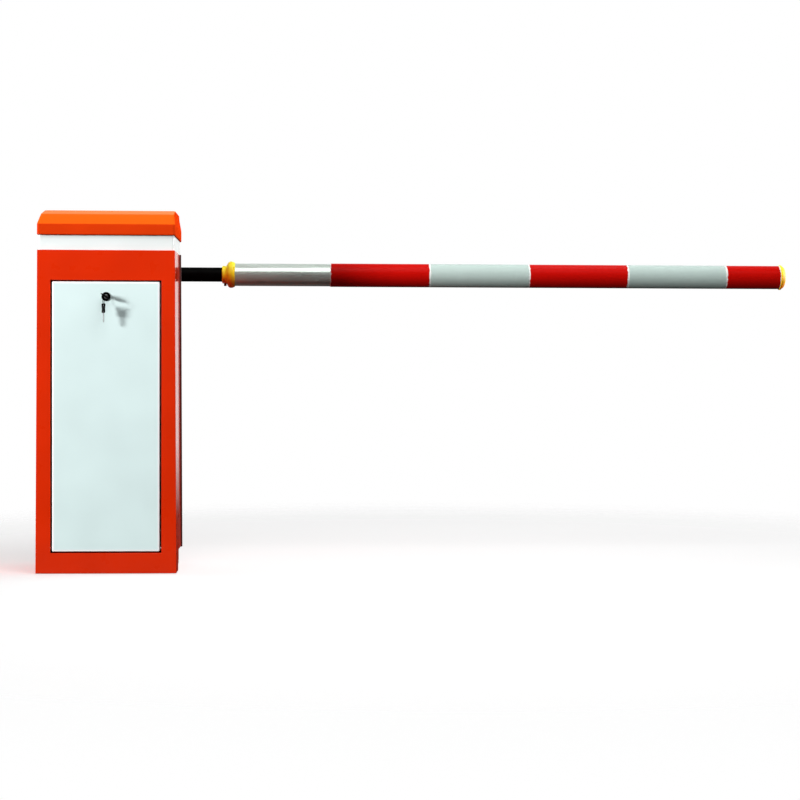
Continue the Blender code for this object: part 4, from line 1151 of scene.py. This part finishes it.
def smooth_route(points, steps):
    """Catmull-Rom curve through the points."""
    points = [Vector(point) for point in points]
    ends = [2 * points[0] - points[1]] + points + [2 * points[-1] - points[-2]]
    made = []
    for a, b, c, d in zip(ends, ends[1:], ends[2:], ends[3:]):
        for i in range(steps):
            t = i / steps
            made.append(0.5 * (2 * b + (c - a) * t + (2 * a - 5 * b + 4 * c - d) * t * t
                               + (3 * b - a - 3 * c + d) * t ** 3))
    made.append(points[-1])
    return made


def motor_cable():
    """Lead from the controller tray's side to the motor's terminal box."""
    bm = bmesh.new()
    swept(bm, smooth_route(CABLE_ROUTE, 8), CABLE_R, 20)
    stand_for("motor_cable", bm)


def bearings():
    """Bolted flange bearing, plain rear bearing, and the tube that holds them."""
    bm = bmesh.new()
    outline = [(SHAFT_R + GAP, 0.0004), (0.0305, 0.0003), (0.032, 0.0015), (0.0325, 0.008),
               (0.0345, 0.01), (0.044, 0.0105), (0.045, 0.0115), (0.045, 0.0192),
               (0.0445, 0.0197), (SHAFT_R + GAP, 0.0197)]
    lathe(bm, outline, ON_SHAFT, "Y", wrap=True)
    bolt_circle(bm, (0, 0.0107, BOOM_Z), "Y", 0.039, 4, 45, 0.008, -0.004)
    stand_for("front_bearing", bm, ZINC)
    stand_tube("rear_bearing", 0.0337, SHAFT_R + GAP, 0.118, 0.14, ON_SHAFT, "Y")
    stand_tube("bearing_housing", 0.042, 0.034, 0.0303, 0.1467, ON_SHAFT, "Y", 0.0012)


def limit_switches():
    """Switch bodies with two screws and a roller that faces the cam."""
    for node, side in (("limit_switch_upper", 1), ("limit_switch_lower", -1)):
        bm = from_cad(node, 0.0008)
        for x in (-0.005, 0.005):
            disc(bm, 0.0022, -0.0335, -0.0318, (x, 0, BOOM_Z + side * 0.06), "Y", 16, 1)
        disc(bm, 0.003, -0.029, -0.021, (0, 0, BOOM_Z + side * 0.0392), "Y", 20, 1)
        stand_for(node, bm, ZINC)


def buffers():
    """Stepped rubber stops."""
    for node in ("buffer_closed", "buffer_open"):
        low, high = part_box(node)
        middle = (low + high) / 2
        outline = [(0.004, low.y), (0.009, low.y), (0.01, low.y + 0.001), (0.01, 0.0),
                   (0.0085, 0.001), (0.006, 0.0016), (0.006, high.y), (0.004, high.y)]
        stand_turned(node, outline, (middle.x, 0, middle.z), "Y", sides=SMALL_ROUND)


def build_machinery():
    stand_rounded({"machine_plate": 0.0008, "controller_tray": 0.0006, "lever": 0.001, "crank": 0.0008,
                   "limit_cam": 0.0006, "connecting_rod": 0.0006, "spring_anchor": 0.0004})
    stand_rod("main_shaft", SHAFT_R, -0.034, 0.1597, ON_SHAFT, "Y", ROUND)
    balance_springs()
    motor()
    fan_cover()
    gear_case()
    circuit_board()
    motor_cable()
    bearings()
    limit_switches()
    buffers()


def finish_cad_nodes():
    """Gives the CAD nodes that still show the finish of their slot."""
    for name, node in frame["nodes"].items():
        if not node.hide_render:
            node.data.materials.clear()
            node.data.materials.append(FINISHES[NODE_SLOTS[name]].material)


# ---- floor, light and camera

FLOOR_FADE = (1.2, 2.8)        # distances at which the floor starts and ends fading out


def floor():
    """Pale disc that fades out into the background. It takes shadows but sends no light back."""
    bm = bmesh.new()
    bmesh.ops.create_circle(bm, cap_ends=True, segments=96, radius=6.0)
    mesh = bpy.data.meshes.new("floor")
    bm.to_mesh(mesh)
    bm.free()
    paint = Finish("floor", (0.9, 0.9, 0.9), 0.85, Emission_Color=(1.0, 1.0, 1.0, 1.0),
                   Emission_Strength=0.45)
    distance = paint.node("ShaderNodeVectorMath", {0: paint.place}, operation="LENGTH")
    fade = paint.scaled(distance.outputs["Value"], *FLOOR_FADE, interpolation_type="SMOOTHSTEP")
    clear = paint.node("ShaderNodeBsdfTransparent")
    paint.show(fade, paint.shader, clear, paint.tree.nodes["Material Output"])
    mesh.materials.append(paint.material)
    made = new_object("floor", mesh)
    made.location = (0.9, 0, -0.0004)
    made.visible_diffuse = False
    made.visible_glossy = False


def area_light(name, at, target, size, power, floor_too=True):
    """Soft panel. One that leaves the floor alone lights only the object."""
    light = bpy.data.lights.new(name, "AREA")
    light.shape = "RECTANGLE"
    light.size, light.size_y = size
    light.energy = power
    made = new_object(name, light)
    made.location = at
    made.rotation_euler = (Vector(target) - Vector(at)).to_track_quat("-Z", "Y").to_euler()
    if not floor_too:
        lit = bpy.data.collections.new("lit by " + name)
        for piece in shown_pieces():
            lit.objects.link(piece)
        made.light_linking.receiver_collection = lit


def lights():
    """Key from the left, a fill from the front, a rim from the right, a soft box over the boom."""
    area_light("key", (-6.1, -3.75, 2.04), (0.0, -0.15, 0.76), (1.1, 1.1), 790, floor_too=False)
    area_light("rim", (4.5, 0.6, 1.4), (0.2, 0.0, 0.6), (1.6, 1.6), 150, floor_too=False)
    area_light("front_top", (1.1, -1.95, 3.3), (0.6, 0.0, 0.7), (3.0, 1.1), 44)
    area_light("overhead", (1.3, -0.1, 3.1), (1.0, 0.1, 0.9), (3.2, 0.7), 30)


def background():
    """White to the eye. As light it is bright behind the object, dark in front, dim from below."""
    world = bpy.data.worlds.new("studio")
    bpy.context.scene.world = world
    world.use_nodes = True
    world.node_tree.nodes.clear()
    studio = Nodes(world.node_tree)
    direction = studio.split(studio.node("ShaderNodeTexCoord").outputs["Generated"])
    behind = studio.scaled(direction["Y"], -0.1, 0.5, 0.03, 1.0)
    over_horizon = studio.scaled(direction["Z"], -0.075, -0.035)
    high_up = studio.scaled(direction["Z"], 0.15, 0.6, 1.0, 0.45)
    from_below = studio.scaled(direction["Z"], -0.6, -0.15, 0.09, 0.0)
    not_straight_down = studio.scaled(direction["Z"], -0.99, -0.9)
    sky = studio.joined("MULTIPLY", studio.joined("MULTIPLY", behind, over_horizon), high_up)
    ground = studio.joined("MULTIPLY", from_below, not_straight_down)
    as_light = studio.node("ShaderNodeBackground", {"Strength": studio.joined("ADD", sky, ground)})
    to_the_eye = studio.node("ShaderNodeBackground", {"Color": (1.0, 1.0, 1.0, 1.0)})
    rays = studio.node("ShaderNodeLightPath")
    output = studio.node("ShaderNodeOutputWorld")
    studio.show(rays.outputs["Is Camera Ray"], as_light, to_the_eye, output)


CAMERA_AT = (0.548, -5.244, 0.55)
CAMERA_YAW = radians(2.957)   # towards +X, from looking along +Y
CAMERA_PITCH = radians(-0.778)
CAMERA_ROLL = radians(0.147)
CAMERA_LENS = 82.63


def camera():
    data = bpy.data.cameras.new("camera")
    data.lens = CAMERA_LENS
    data.sensor_width = 36.0
    made = new_object("camera", data)
    bpy.context.scene.camera = made
    heading = Matrix.Rotation(-CAMERA_YAW, 4, "Z")
    tilt = Matrix.Rotation(radians(90) + CAMERA_PITCH, 4, "X")
    roll = Matrix.Rotation(CAMERA_ROLL, 4, "Z")
    made.matrix_world = Matrix.Translation(CAMERA_AT) @ heading @ tilt @ roll


build_cabinet()
build_door()
build_boom()
build_machinery()
finish_cad_nodes()
lights()
floor()
background()
camera()
bpy.context.scene.view_settings.view_transform = "Standard"
